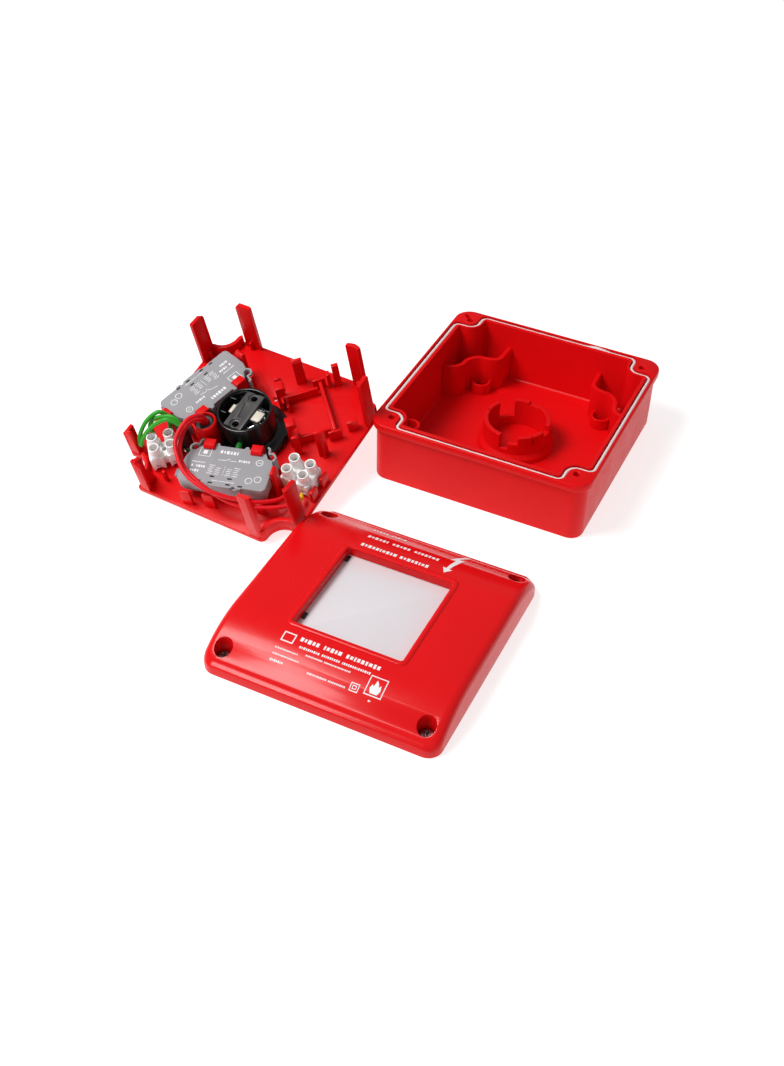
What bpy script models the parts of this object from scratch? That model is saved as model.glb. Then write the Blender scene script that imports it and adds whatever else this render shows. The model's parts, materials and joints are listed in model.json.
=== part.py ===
"""Manual call point, opened up: the base box, the front cover and the inner panel lie side by side.

Metres, +Z up. The base's wall face is centred on the origin. The inner panel is built in its own
frame, with its front face at w = 0 and its rear at +w, and is then tilted onto its front edge.
Shapes are drawn in millimetres and scaled once, when their mesh is made.
"""

from math import cos, hypot, pi, radians, sin, sqrt

import bmesh
import bpy
from mathutils import Matrix, Vector

MM = 0.001

BOX_HALF, BOX_RADIUS, BOX_HEIGHT = 52.8, 6.5, 33.0
LIP_HALF, LIP_RADIUS, LIP_BOTTOM = 54.4, 8.0, 29.0
FLOOR, INNER_HALF = 2.5, 49.0
SCREW_AT = 46.0
RING_IN, RING_OUT, RING_TOP = 14.2, 16.5, 17.0
GASKET_LOW, GASKET_TOP, GROOVE_LOW = 31.1, 32.6, 30.8

COVER_AT = (-6.0, -143.3)
COVER_HALF, COVER_RADIUS = 54.0, 6.5
ARCH_TOP, ARCH_FLAT, ARCH_R, ARCH_END = 15.5, 24.0, 46.0, 52.2
SHELL, SHOULDER = 2.6, 4.0
WINDOW = 25.0
WELL_R, WELL_FLOOR, SHANK_HOLE_R = 4.0, 2.0, 1.9

PANEL_AT = (-108.44, -68.91, 13.86)
PANEL_YAW, PANEL_TILT, PANEL_ROLL = -4.35, 15.8, 0.5
PLATE_HALF, PLATE, NOTCH_FILLET, NOTCH_R = 49.3, 2.6, 3.3, 8.0
WIDE_NOTCH = (1.2, 12.2)
STATIONS = (-75.0, 165.0, 45.0)
BOSS_1, BOSS_2 = (-13.8, -13.6), (-24.2, -19.4)
WIRE_R = 0.9

# Colour, roughness and metallic value of each finish.
FINISHES = {
    "red_plastic": ((0.600, 0.003, 0.005), 0.36, 0.0),
    "red_plastic_gloss": ((0.610, 0.004, 0.006), 0.24, 0.0),
    "gasket_foam": ((0.800, 0.700, 0.690), 0.75, 0.0),
    "pane_glass": ((0.600, 0.580, 0.610), 0.12, 0.0),
    "black_plastic": ((0.014, 0.014, 0.015), 0.50, 0.0),
    "black_gloss": ((0.010, 0.010, 0.011), 0.22, 0.0),
    "smoky_plastic": ((0.055, 0.050, 0.050), 0.26, 0.0),
    "grey_plastic": ((0.335, 0.330, 0.345), 0.55, 0.0),
    "dark_grey_plastic": ((0.215, 0.210, 0.225), 0.55, 0.0),
    "white_plastic": ((0.830, 0.800, 0.790), 0.42, 0.0),
    "green_plastic": ((0.012, 0.235, 0.030), 0.45, 0.0),
    "red_plunger": ((0.560, 0.012, 0.012), 0.45, 0.0),
    "black_rubber": ((0.012, 0.012, 0.013), 0.45, 0.0),
    "screw_steel": ((0.620, 0.610, 0.600), 0.32, 1.0),
    "spring_steel": ((0.550, 0.550, 0.560), 0.28, 1.0),
    "lamp_red": ((0.550, 0.020, 0.020), 0.12, 0.0),
    "lamp_green": ((0.030, 0.420, 0.060), 0.12, 0.0),
    "ferrule_yellow": ((0.800, 0.470, 0.012), 0.40, 0.0),
    "wire_red": ((0.600, 0.009, 0.022), 0.38, 0.0),
    "wire_green": ((0.035, 0.340, 0.022), 0.38, 0.0),
}


# ---------------------------------------------------------------- scene set-up


def clear_scene():
    for obj in list(bpy.data.objects):
        bpy.data.objects.remove(obj, do_unlink=True)
    for group in list(bpy.data.collections):
        bpy.data.collections.remove(group)


def collection(name, hidden=False):
    group = bpy.data.collections.new(name)
    bpy.context.scene.collection.children.link(group)
    group.hide_render = hidden
    return group


def empty(name, place):
    """A frame that sub-parts are parented to."""
    frame = bpy.data.objects.new(name, None)
    frame.matrix_world = place
    bpy.data.collections["manual_call_point"].objects.link(frame)
    return frame


def finish(name):
    """The Principled material of one finish, made once."""
    if name in bpy.data.materials:
        return bpy.data.materials[name]
    colour, roughness, metallic = FINISHES[name]
    material = bpy.data.materials.new(name)
    material.use_nodes = True
    shader = material.node_tree.nodes["Principled BSDF"]
    shader.inputs["Base Color"].default_value = (*colour, 1)
    shader.inputs["Roughness"].default_value = roughness
    shader.inputs["Metallic"].default_value = metallic
    return material


def node(name, obj, look, frame=None):
    """Names a shape, gives it its finish and puts it in the model, under its frame."""
    obj.name = name
    obj.data.name = name
    obj.data.materials.clear()
    obj.data.materials.append(finish(look))
    obj.parent = frame
    bpy.data.collections["manual_call_point"].objects.link(obj)
    return obj


def combine(target, shapes, operation, tag):
    """Joins or cuts a node by a set of closed shapes in the same frame."""
    group = bpy.data.collections.new(f"{target.name}_{tag}")
    bpy.data.collections["cutters"].children.link(group)
    for shape in shapes:
        shape.name = f"{target.name}_{tag}"
        shape.parent = target.parent
        shape.hide_render = True
        shape.display_type = "WIRE"
        group.objects.link(shape)
    modifier = target.modifiers.new(tag, "BOOLEAN")
    modifier.operation = operation
    modifier.operand_type = "COLLECTION"
    modifier.collection = group
    modifier.solver = "EXACT"


def smooth(obj, angle=35.0):
    """Shades a round piece smooth, with its sharp edges kept."""
    obj.data.shade_smooth()
    obj.data.set_sharp_from_angle(angle=radians(angle))
    return obj


# ---------------------------------------------------------------- shapes


def as_object(bm):
    """An object of a mesh drawn in millimetres."""
    bmesh.ops.scale(bm, vec=(MM, MM, MM), verts=bm.verts)
    mesh = bpy.data.meshes.new("shape")
    bm.to_mesh(mesh)
    bm.free()
    return bpy.data.objects.new("shape", mesh)


def area(points):
    """Signed area of an outline: over 0 if it runs counter-clockwise."""
    return sum(x0 * y1 - x1 * y0 for (x0, y0), (x1, y1) in zip(points, points[1:] + points[:1])) / 2


def flat(outline, low, high):
    """A flat outline in plan, given its thickness between two heights."""
    bm = bmesh.new()
    outline = outline if area(outline) > 0 else outline[::-1]
    bm.faces.new([bm.verts.new((x, y, low)) for x, y in outline])
    obj = as_object(bm)
    thick = obj.modifiers.new("thickness", "SOLIDIFY")
    thick.thickness = (high - low) * MM
    thick.offset = 1
    return obj


def upright(profile, y0, y1):
    """An outline in the XZ plane, given its thickness from y0 to y1."""
    obj = flat(profile, -y1, -y0)
    obj.rotation_euler = (pi / 2, 0, 0)
    return obj


def turned_by(obj, degrees):
    """The shape turned about its frame's vertical."""
    obj.matrix_basis = Matrix.Rotation(radians(degrees), 4, "Z") @ obj.matrix_basis
    return obj


def box(x0, x1, y0, y1, z0, z1):
    bm = bmesh.new()
    centre = Matrix.Translation(((x0 + x1) / 2, (y0 + y1) / 2, (z0 + z1) / 2))
    size = Matrix.Diagonal((x1 - x0, y1 - y0, z1 - z0, 1))
    bmesh.ops.create_cube(bm, size=1, matrix=centre @ size)
    return as_object(bm)


def pin(radius, low, high, at=(0, 0), sides=24):
    """A round pin, or a cutter for a round hole."""
    bm = bmesh.new()
    place = Matrix.Translation((at[0], at[1], (low + high) / 2))
    bmesh.ops.create_cone(bm, cap_ends=True, segments=sides, radius1=radius, radius2=radius,
                          depth=high - low, matrix=place)
    return as_object(bm)


def rod(start, end, radius, sides=12):
    """A round rod between two points."""
    bm = bmesh.new()
    axis = Vector(end) - Vector(start)
    place = Matrix.Translation((Vector(start) + Vector(end)) / 2)
    place = place @ axis.to_track_quat("Z", "Y").to_matrix().to_4x4()
    bmesh.ops.create_cone(bm, cap_ends=True, segments=sides, radius1=radius, radius2=radius,
                          depth=axis.length, matrix=place)
    return as_object(bm)


def turned(profile, at=(0, 0), steps=32):
    """A (radius, height) outline turned about the vertical through a point."""
    profile = profile if area(profile) < 0 else profile[::-1]
    bm = bmesh.new()
    points = [bm.verts.new((r, 0, z)) for r, z in profile]
    for one, two in zip(points, points[1:] + points[:1]):
        if one.co.x > 0 or two.co.x > 0:
            bm.edges.new((one, two))
    obj = as_object(bm)
    obj.location = (at[0] * MM, at[1] * MM, 0)
    screw = obj.modifiers.new("turn", "SCREW")
    screw.angle = 2 * pi
    screw.steps = screw.render_steps = steps
    screw.use_merge_vertices = True
    screw.merge_threshold = 1e-6
    screw.use_smooth_shade = True
    return obj


def loft(loops, join_ends=False, caps=()):
    """A skin over closed loops of equal length. Each cap closes a loop with strips across it."""
    bm = bmesh.new()
    rings = [[bm.verts.new(p) for p in loop] for loop in loops]
    count = len(rings[0])
    for one, two in zip(rings, rings[1:] + (rings[:1] if join_ends else [])):
        for i in range(count):
            j = (i + 1) % count
            bm.faces.new((one[i], one[j], two[j], two[i]))
    for ring in (rings[k] for k in caps):
        for i in range(count // 2 - 1):
            bm.faces.new((ring[i], ring[i + 1], ring[count - 2 - i], ring[count - 1 - i]))
    bmesh.ops.recalc_face_normals(bm, faces=bm.faces)
    return as_object(bm)


def cord(points, radius):
    """A round cord along a smooth line through the points."""
    curve = bpy.data.curves.new("cord", "CURVE")
    curve.dimensions = "3D"
    curve.bevel_depth = radius * MM
    curve.bevel_resolution = 2
    curve.use_fill_caps = True
    spline = curve.splines.new("POLY")
    spline.points.add(len(points) - 1)
    for point, at in zip(spline.points, points):
        point.co = (at[0] * MM, at[1] * MM, at[2] * MM, 1)
    return bpy.data.objects.new("cord", curve)


# ---------------------------------------------------------------- outlines


def rectangle(x0, x1, y0, y1):
    return [(x0, y0), (x1, y0), (x1, y1), (x0, y1)]


def rounded(half, radius, steps=5, centre=(0, 0), half_y=None):
    """A rectangle with rounded corners, counter-clockwise."""
    half_y = half if half_y is None else half_y
    points = []
    for k, (sx, sy) in enumerate(((1, -1), (1, 1), (-1, 1), (-1, -1))):
        for i in range(steps + 1):
            a = -pi / 2 + k * pi / 2 + i * pi / 2 / steps
            points.append((
                centre[0] + sx * (half - radius) + radius * cos(a),
                centre[1] + sy * (half_y - radius) + radius * sin(a),
            ))
    return points


def quarter_turns(points):
    """The points, and the same points turned to the other three corners."""
    done = []
    for c, s in ((1, 0), (0, 1), (-1, 0), (0, -1)):
        done += [(x * c - y * s, x * s + y * c) for x, y in points]
    return done


def round_the_screw(half, fillet, around, steps=3):
    """One corner of a square line that passes on the inner side of the corner screw."""
    low = SCREW_AT - around - fillet
    points = [(half - fillet + fillet * cos(a), low + fillet * sin(a))
              for a in (i * pi / 2 / steps for i in range(steps + 1))]
    points += [(SCREW_AT + around * cos(a), SCREW_AT + around * sin(a))
               for a in (-pi / 2 - i * pi / 4 / steps for i in range(2 * steps + 1))]
    points += [(low + fillet * cos(a), half - fillet + fillet * sin(a))
               for a in (i * pi / 2 / steps for i in range(steps + 1))]
    return points


def screw_contour(half, fillet, around, steps=3):
    return quarter_turns(round_the_screw(half, fillet, around, steps))


def plate_outline():
    """The square plate with a notch at each corner screw. The front left notch is wider."""
    points = screw_contour(PLATE_HALF, NOTCH_FILLET, NOTCH_R, 4)
    count = len(points) // 4
    wide = round_the_screw(PLATE_HALF, *WIDE_NOTCH, 4)
    return points[:2 * count] + [(-x, -y) for x, y in wide] + points[3 * count:]


def strip(path, width):
    """A 2D band of even width along an open path."""
    left, right = [], []
    for i, (x, y) in enumerate(path):
        x0, y0 = path[max(i - 1, 0)]
        x1, y1 = path[min(i + 1, len(path) - 1)]
        length = hypot(x1 - x0, y1 - y0)
        nx, ny = -(y1 - y0) / length * width / 2, (x1 - x0) / length * width / 2
        left.append((x + nx, y + ny))
        right.append((x - nx, y - ny))
    return right + left[::-1]


def sector(r0, r1, a0, a1, centre=(0, 0), step=6.0):
    """A piece of a flat ring between two radii and two angles in degrees."""
    count = max(1, int(abs(a1 - a0) / step + 0.5))
    angles = [radians(a0 + (a1 - a0) * i / count) for i in range(count + 1)]
    outer = [(centre[0] + r1 * cos(a), centre[1] + r1 * sin(a)) for a in angles]
    inner = [(centre[0] + r0 * cos(a), centre[1] + r0 * sin(a)) for a in reversed(angles)]
    return outer + inner


def through(points, per=5):
    """Points along a smooth curve through the given ones."""
    done = []
    for i in range(len(points) - 1):
        p0, p1 = points[max(i - 1, 0)], points[i]
        p2, p3 = points[i + 1], points[min(i + 2, len(points) - 1)]
        for k in range(per):
            t = k / per
            done.append(tuple(
                0.5 * (2 * b + (c - a) * t + (2 * a - 5 * b + 4 * c - d) * t * t
                       + (3 * b - a - 3 * c + d) * t * t * t)
                for a, b, c, d in zip(p0, p1, p2, p3)
            ))
    return done + [tuple(points[-1])]


# ---------------------------------------------------------------- base box


CORNER_WALL = ((49.6, 19.8), (43.6, 20.8), (40.6, 24.5), (39.6, 29.5), (35.5, 34.0), (29.5, 35.0),
               (25.5, 37.5), (24.8, 42.0), (24.5, 49.6))
# Start and end angle in degrees of each gap in the centre ring's rim, and the height it reaches down to.
RING_GAPS = ((116, 148, 7.5), (68, 88, 15.8), (-17, 3, 13.8), (-41.5, -39, 12.0),
             (-86, -67, 13.0), (-99, -84, 9.5), (176.6, 179.4, 12.0))


def base_inside():
    """The centre ring, the small bosses and the two S-shaped corner walls."""
    parts = [turned([(RING_IN, 1.5), (18.5, 1.5), (18.5, 5.0), (RING_OUT, 7.0),
                     (RING_OUT, RING_TOP), (RING_IN, RING_TOP)], steps=40)]
    parts += [turned([(3.75, 1.5), (5.0, 1.5), (5.0, 8.5), (3.75, 8.5)], (x, y), 20)
              for x, y in ((-32.5, 32), (32.5, 32), (-32.5, -32), (32.5, -32))]
    parts += [turned([(3.3, 1.5), (4.7, 1.5), (4.7, 21.5), (3.3, 21.5)], (x, -33.6), 20)
              for x in (-42.0, 42.0)]
    for side in (1, -1):
        path = [(side * x, y) for x, y, _ in through([(x, y, 0) for x, y in CORNER_WALL], 2)]
        parts.append(flat(strip(path, 2.2), 1.5, 21.0))
    return parts


def make_base():
    """The wall box with its flange, gasket groove and inner fittings."""
    base = node("base_box", flat(rounded(BOX_HALF, BOX_RADIUS), 0, 30.5), "red_plastic")
    combine(base, [flat(rounded(LIP_HALF, LIP_RADIUS), LIP_BOTTOM, BOX_HEIGHT)], "UNION", "lip")
    combine(base, [flat(screw_contour(INNER_HALF, 1.0, 7.2), FLOOR, BOX_HEIGHT + 5)],
            "DIFFERENCE", "cavity")
    groove = loft([[(x, y, z) for x, y in screw_contour(half, fillet, around)]
                   for half, fillet, around, z in ((53.2, 3.9, 3.8, GROOVE_LOW), (53.2, 3.9, 3.8, 36),
                                                   (50.9, 1.6, 6.1, 36), (50.9, 1.6, 6.1, GROOVE_LOW))],
                  join_ends=True)
    pilots = [pin(1.5, 12, 36, (sx * SCREW_AT, sy * SCREW_AT), 16) for sx in (1, -1) for sy in (1, -1)]
    combine(base, [groove, *pilots], "DIFFERENCE", "cuts")
    combine(base, [flat(strip([(-46.5, 46.2), (-50.2, 49.6)], 1.6), 25, 36)], "DIFFERENCE", "keyhole")
    combine(base, base_inside(), "UNION", "inside")
    combine(base, [flat(sector(12.5, 18.2, a0, a1, step=8), z, 20) for a0, a1, z in RING_GAPS],
            "DIFFERENCE", "gaps")
    smooth(base)
    gasket = node("base_gasket", flat(screw_contour(52.9, 3.6, 4.1), GASKET_LOW, GASKET_TOP),
                  "gasket_foam")
    combine(gasket, [flat(screw_contour(51.2, 1.9, 5.8), GASKET_LOW - 1, GASKET_TOP + 1)],
            "DIFFERENCE", "middle")


# ---------------------------------------------------------------- front cover


def arch(v):
    """Height of the cover's outer surface at a distance from its middle line."""
    v = min(abs(v), ARCH_END)
    if v <= ARCH_FLAT:
        return ARCH_TOP
    return ARCH_TOP - (ARCH_R - sqrt(ARCH_R ** 2 - (v - ARCH_FLAT) ** 2))


def cover_half(inset):
    """The right half of the cover's outline, each point with its outward X share, front to back."""
    radius, middle = COVER_RADIUS - inset, COVER_HALF - COVER_RADIUS
    turn = [i * pi / 12 for i in range(7)]
    rows = [ARCH_FLAT + 4 * i for i in range(6)]
    points = [(middle + radius * sin(a), -middle - radius * cos(a), sin(a)) for a in turn]
    points += [(COVER_HALF - inset, y, 1.0) for y in [-y for y in reversed(rows)] + rows]
    points += [(middle + radius * cos(a), middle + radius * sin(a), cos(a)) for a in turn]
    return points


def cover_loop(inset, drop, sink=0.0, level=None):
    """One closed loop of the cover's skin."""
    right = [(x, y, arch(y) - sink - drop * (0.3 + 0.7 * share) if level is None else level)
             for x, y, share in cover_half(inset)]
    return right + [(-x, y, z) for x, y, z in reversed(right)]


def arched_body(first, shoulder, sink, bottom, steps):
    """A closed body with a flat bottom, an arched top and rounded shoulders."""
    loops = [cover_loop(first, 0, level=bottom)]
    for i in range(steps + 1):
        a = i * pi / 2 / steps
        loops.append(cover_loop(first + shoulder * (1 - cos(a)), shoulder * (1 - sin(a)), sink))
    return loft(loops, caps=(0, -1))


def make_cover(frame):
    """The arched lid with its window and wells, the pane, its clips and four captive screws."""
    corners = [(sx * SCREW_AT, sy * SCREW_AT) for sx in (1, -1) for sy in (1, -1)]
    cover = node("front_cover", arched_body(0, SHOULDER, 0, 0, 4), "red_plastic_gloss", frame)
    room = arched_body(SHELL, 1.5, SHELL, -2, 1)
    combine(cover, [room], "DIFFERENCE", "hollow")
    combine(room, [pin(5.6, -4, 30, at) for at in corners], "DIFFERENCE", "posts")
    combine(cover, [pin(WELL_R, WELL_FLOOR, 30, at) for at in corners]
            + [flat(rounded(WINDOW + 1.2, 1.5), 5, 30)], "DIFFERENCE", "wells")
    combine(cover, [pin(SHANK_HOLE_R, -3, 6, at, 16) for at in corners], "DIFFERENCE", "shanks")
    rim = ((27.2, 11.5), (27.6, 15.2), (27.2, 15.9), (26.3, 16.2), (25.4, 15.9), (WINDOW, 15.2),
           (WINDOW, 11.5))
    combine(cover, [loft([[(x, y, z) for x, y in rounded(half, half - WINDOW + 1.0, 4)]
                          for half, z in rim], join_ends=True)], "UNION", "rim")
    smooth(cover)
    node("window_glass", flat(rounded(27.0, 1.5, 3), 9.2, 11.2), "pane_glass", frame)
    for i, y in enumerate((-19.5, 19.5)):
        make_clip(f"glass_clip_{i + 1}", y, frame)
    for i, at in enumerate(corners):
        make_cover_screw(f"cover_screw_{i + 1}", at, frame)


def make_clip(name, y, frame):
    """A bent clip under the pane's left edge, fixed to the cover's frame."""
    profile = [(-29.6, 12.4), (-28.2, 12.4), (-28.2, 8.9), (-24.0, 8.9), (-24.0, 7.7), (-29.6, 7.7)]
    node(name, upright(profile, y - 2.5, y + 2.5), "black_plastic", frame)


SCREW_SEAT, SCREW_HEAD = 2.4, 4.8


def make_cover_screw(name, at, frame):
    """A captive pan-head screw with a cross recess. Its origin is on its axis."""
    place = empty(f"{name}_axis", Matrix.Translation((at[0] * MM, at[1] * MM, 0)))
    place.parent = frame
    screw = node(name, turned([(0, 0.4), (1.1, 0.4), (1.5, 1.0), (1.5, SCREW_SEAT), (3.4, SCREW_SEAT),
                               (3.4, SCREW_HEAD - 0.8), (2.6, SCREW_HEAD), (0, SCREW_HEAD)], steps=20),
                 "screw_steel", place)
    arms = [(-1.8, -0.45), (-0.45, -0.45), (-0.45, -1.8), (0.45, -1.8), (0.45, -0.45), (1.8, -0.45)]
    cross = arms + [(-x, -y) for x, y in arms]
    combine(screw, [flat(cross, SCREW_HEAD - 1.2, SCREW_HEAD + 1)], "DIFFERENCE", "recess")


# ---------------------------------------------------------------- inner panel


LEG = 2.0
# Each leg: quarter turns from the front edge, its path in plan there, and the height of its top.
LEGS = (
    (0, ((30.5, -48.1), (35.0, -48.1), (36.0, -47.6), (36.4, -46.5)), 33.8),
    (1, ((-29.5, -48.1), (-35.6, -48.1), (-37.2, -47.3)), 32.2),
    (1, ((27.0, -48.1), (34.5, -48.1)), 33.2),
    (2, ((-28.8, -48.1), (-35.2, -48.1), (-36.4, -47.5)), 32.6),
    (2, ((25.5, -48.1), (34.5, -48.1)), 32.4),
    (3, ((-28.4, -48.1), (-35.6, -48.1), (-37.2, -47.3)), 30.4),
)


def legs():
    """The legs that reach into the base box, two near each corner."""
    parts = [turned_by(flat(strip(path, LEG), 1.2, top), turns * 90) for turns, path, top in LEGS]
    blade = [(-49.0, 1.25), (-49.0, 24.0), (-43.8, 21.8), (-44.4, 14.0), (-43.0, 11.5),
             (-41.2, 6.0), (-40.2, 1.25)]
    parts.append(turned_by(upright(blade, 28.7, 31.1), 90))
    parts.append(upright([(-31.2, 1.3), (-31.3, 24.2), (-30.4, 24.2), (-26.2, 20.8), (-26.6, 1.3)], -49.1, -47.2))
    parts.append(box(-49.1, -47.2, -33.5, -27.2, 1.2, 17.2))
    parts.append(upright([(-49.0, 1.3), (-49.0, 17.0), (-44.2, 19.2), (-43.6, 1.3)], -33.4, -31.6))
    return parts


def at_station(theta, outline, low, high):
    return turned_by(flat(outline, low, high), theta)


def station_parts(theta, number):
    """The ribs, posts and tabs that hold one contact block."""
    parts = []
    for side in (1, -1):
        def block(n0, n1, s0, s1, low, high):
            a, b = sorted((side * s0, side * s1))
            return turned_by(box(n0, n1, a, b, low, high), theta)

        parts += [block(19.0, 36.5, 12.4, 14.0, 1.4, 7.5), block(19.6, 21.0, 6.5, 13.0, 1.5, 7.3),
                  block(16.4, 17.9, 9.8, 13.6, 1.3, 17.6), block(16.6, 21.4, 9.0, 14.4, 16.8, 18.5),
                  block(17.2, 20.8, 18.2, 19.7, 1.3, 15.5)]
        if (number, side) != (0, -1):
            parts.append(block(27.6, 32.6, 22.4, 24.4, 1.25, 19.8))
        if (number, side) not in ((0, 1), (0, -1), (1, 1)):
            parts.append(block(29.4, 30.8, 24.0, 26.4, 1.5, 14.0))
    parts.append(turned_by(box(37.4, 39.0, -12.0, 12.0, 1.6, 7.2), theta))
    if number < 2:
        parts.append(turned_by(box(41.8, 43.4, 16.6, 20.2, 1.5, 9.2), theta))
    if number == 0:
        parts += [turned_by(box(42.6, 44.2, -8.8, -3.6, 1.45, 12.4), theta),
                  turned_by(box(42.6, 44.2, -20.0, -15.0, 1.55, 12.4), theta)]
    if number == 2:
        parts += [turned_by(box(45.2, 48.6, 14.6, 16.8, 1.5, 17.0), theta),
                  turned_by(box(42.0, 43.8, 14.8, 18.0, 1.45, 12.0), theta),
                  turned_by(box(44.4, 49.4, -15.0, -12.0, 1.55, 9.0), theta)]
    return parts


def notch_walls():
    """A low wall that follows the plate's edge round each corner screw."""
    path = round_the_screw(PLATE_HALF - 1.1, 2.2, NOTCH_R + 1.1, 4)[2:-2]
    wide = round_the_screw(PLATE_HALF - 1.1, WIDE_NOTCH[0], WIDE_NOTCH[1] + 1.1, 4)[7:-7]
    return [turned_by(flat(strip(wide if turn == 180 else path, 1.7), 1.7, 7.0), turn)
            for turn in (0, 90, 180, 270)]


def make_panel(frame):
    """The moulded carrier plate with its legs, notch walls, contact mounts and lamp boss."""
    panel = node("inner_panel", flat(plate_outline(), 0, PLATE), "red_plastic", frame)
    parts = legs() + notch_walls()
    for number, theta in enumerate(STATIONS):
        parts += station_parts(theta, number)
    parts += [pin(5.8, 1.35, 22.0, BOSS_1, 28), box(-24.0, -22.2, -40.6, -38.9, 1.5, 9.4),
              box(46.6, 48.2, -12.6, -7.6, 1.5, 9.5), box(46.6, 48.2, -21.6, -16.6, 1.5, 9.5)]
    combine(panel, parts, "UNION", "adds")
    combine(panel, [pin(4.7, 8.0, 30, BOSS_1)], "DIFFERENCE", "socket")
    combine(panel, [pin(13.5, -2, 6, sides=40), pin(2.7, -2, 9, BOSS_1, 16), pin(2.7, -2, 7, BOSS_2, 16),
                    pin(1.2, -2, 6, (-1.8, 23.4), 10)], "DIFFERENCE", "holes")
    smooth(panel)


def make_lamps(frame):
    """Two indicator lamps in the face and the rubber grommets behind them."""
    for i, (at, low, high, r) in enumerate(((BOSS_1, 16.5, 21.0, 4.4), (BOSS_2, 5.9, 20.0, 2.8))):
        ring = turned([(2.05, low), (r, low), (r, high - 0.4), (r - 0.4, high), (2.05, high)], at, 20)
        node(f"grommet_{i + 1}", ring, "black_rubber", frame)
        lens = turned([(0, -1.6), (1.3, -1.3), (2.0, -0.5), (2.2, 0), (2.2, 5.5), (0, 5.5)], at, 16)
        node(f"lamp_{i + 1}", lens, ("lamp_red", "lamp_green")[i], frame)


# ---------------------------------------------------------------- push button


def make_button(frame):
    """The push button: fixed housing and bezel, moving cap and stem, return spring and bridge."""
    housing = node("button_housing", turned(
        [(11.2, -0.6), (13.1, -0.6), (13.1, 2.9), (18.2, 2.9), (18.2, 6.0), (13.1, 6.0),
         (13.1, 22.0), (12.1, 22.0), (12.1, 0.8), (11.2, 0.8)]), "black_gloss", frame)
    windows = [turned_by(box(10.5, 15.0, -1.9, 1.9, 10.2, 14.0), theta) for theta in STATIONS[:2]]
    combine(housing, windows + [pin(6.2, 1.0, 9.0, BOSS_1)], "DIFFERENCE", "windows")
    ribs = [box(x0, x1, y - 0.5, y + 0.5, 19.4, 21.5)
            for x0, x1 in ((7.5, 12.5), (-12.5, -7.5)) for y in (4.0, -4.0)]
    combine(housing, ribs, "UNION", "ribs")
    node("button_bezel", turned([(14.6, -4.0), (16.0, -4.0), (16.6, -3.4), (16.6, -0.3), (14.6, -0.3)]),
         "black_gloss", frame)
    node("push_button_cap", turned([(0, -10.35), (13.2, -10.35), (14.0, -9.55), (14.0, -6.6), (12.2, -6.6),
                                    (12.2, -8.6), (0, -8.6)]), "black_gloss", frame)
    node("button_stem", turned([(9.0, -8.3), (10.9, -8.3), (10.9, 1.1), (11.7, 1.1), (11.7, 6.4),
                                (10.2, 12.4), (10.2, 12.6), (9.0, 12.6)]), "black_plastic", frame)
    node("button_spring", cord(spring_line(), 0.6), "spring_steel", frame)
    bridge = node("button_bridge", flat([(-5.0, -10.6), (4.5, -10.8), (4.5, 10.8), (-5.0, 10.6)],
                                        18.95, 21.2), "smoky_plastic", frame)
    combine(bridge, [pin(1.7, 15, 25, (0, y), 16) for y in (8.2, -8.2)], "DIFFERENCE", "holes")
    node("bridge_latch_left", box(-7.2, -5.4, -3.2, 1.5, 19.2, 20.8), "white_plastic", frame)
    node("bridge_latch_right", box(5.0, 9.6, -2.9, 2.9, 19.2, 20.6), "white_plastic", frame)


def spring_line():
    """The return spring's turns, between the cap and the bridge, with closed ends."""
    turns, per, low, high, radius = 5.5, 10, -7.6, 18.0, 7.9
    points = []
    for i in range(int(turns * per) + 1):
        a = 2 * pi * i / per
        rise = min(max((i / per - 0.5) / (turns - 1), 0), 1)
        points.append((radius * cos(a), radius * sin(a), low + (high - low) * rise))
    return points


# ---------------------------------------------------------------- contacts


def block_outline(inset=0.0):
    """Outline (n, s) of a contact block, from its near edge round to its far edge."""
    d = inset
    return [(18.3 + d, -13.5), (18.3 + d, -9.2), (16.9 + d, -9.0), (16.9 + d, -7.4), (18.3 + d, -7.2),
            (18.3 + d, 5.2), (16.9 + d, 5.4), (16.9 + d, 7.2), (18.3 + d, 7.4), (18.3 + d, 13.5),
            (22.0 + d, 17.6 - d), (22.6 + d, 20.0 - d), (27.0, 21.6 - d), (38.8, 21.6 - d),
            (40.2 - d, 20.2 - d), (40.2 - d, 10.4), (41.0 - d, 10.0), (41.0 - d, -5.0),
            (40.2 - d, -5.4), (40.2 - d, -20.2 + d), (38.8, -21.6 + d), (27.0, -21.6 + d),
            (22.6 + d, -20.0 + d), (22.0 + d, -17.6 + d)]


def make_contacts(frame):
    """Two contact blocks, each a case over a darker carrier, with a plunger at the housing."""
    for name, theta, look in (("no", STATIONS[0], "green_plastic"), ("nc", STATIONS[1], "red_plunger")):
        case = node(f"contact_{name}_case", at_station(theta, block_outline(), 10.4, 16.4),
                    "grey_plastic", frame)
        hooks = [turned_by(box(21.0, 23.6, side * 17.2 - 0.9, side * 17.2 + 0.9, 14.8, 18.0), theta)
                 for side in (1, -1)]
        combine(case, hooks, "UNION", "hooks")
        combine(case, [turned_by(box(15.0, 24.0, -1.9, 1.9, 9.0, 14.0), theta)], "DIFFERENCE", "bore")
        carrier = node(f"contact_{name}_carrier", at_station(theta, block_outline(0.8), 7.8, 10.1),
                       "dark_grey_plastic", frame)
        if name == "no":
            combine(carrier, [turned_by(box(30.0, 34.0, -26.4, -20.0, 7.9, 10.0), theta)], "UNION", "foot")
        plunger = box(0, 10, -1.5, 1.5, -1.5, 1.5)
        plunger.location = (11.0 * MM, 0, 12.1 * MM)
        node(f"plunger_{name}", turned_by(plunger, theta), look, frame)


# ---------------------------------------------------------------- terminals


RIGHT_TOWERS = ((33.6, -10.8), (42.3, -10.8), (33.6, -17.5), (42.3, -17.5))
LEFT_TOWERS = ((-35.3, -29.2), (-29.4, -23.7), (-30.8, -34.0), (-24.9, -28.5))
BLOCK_LOW, BLOCK_TOP = 2.9, 12.0


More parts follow.
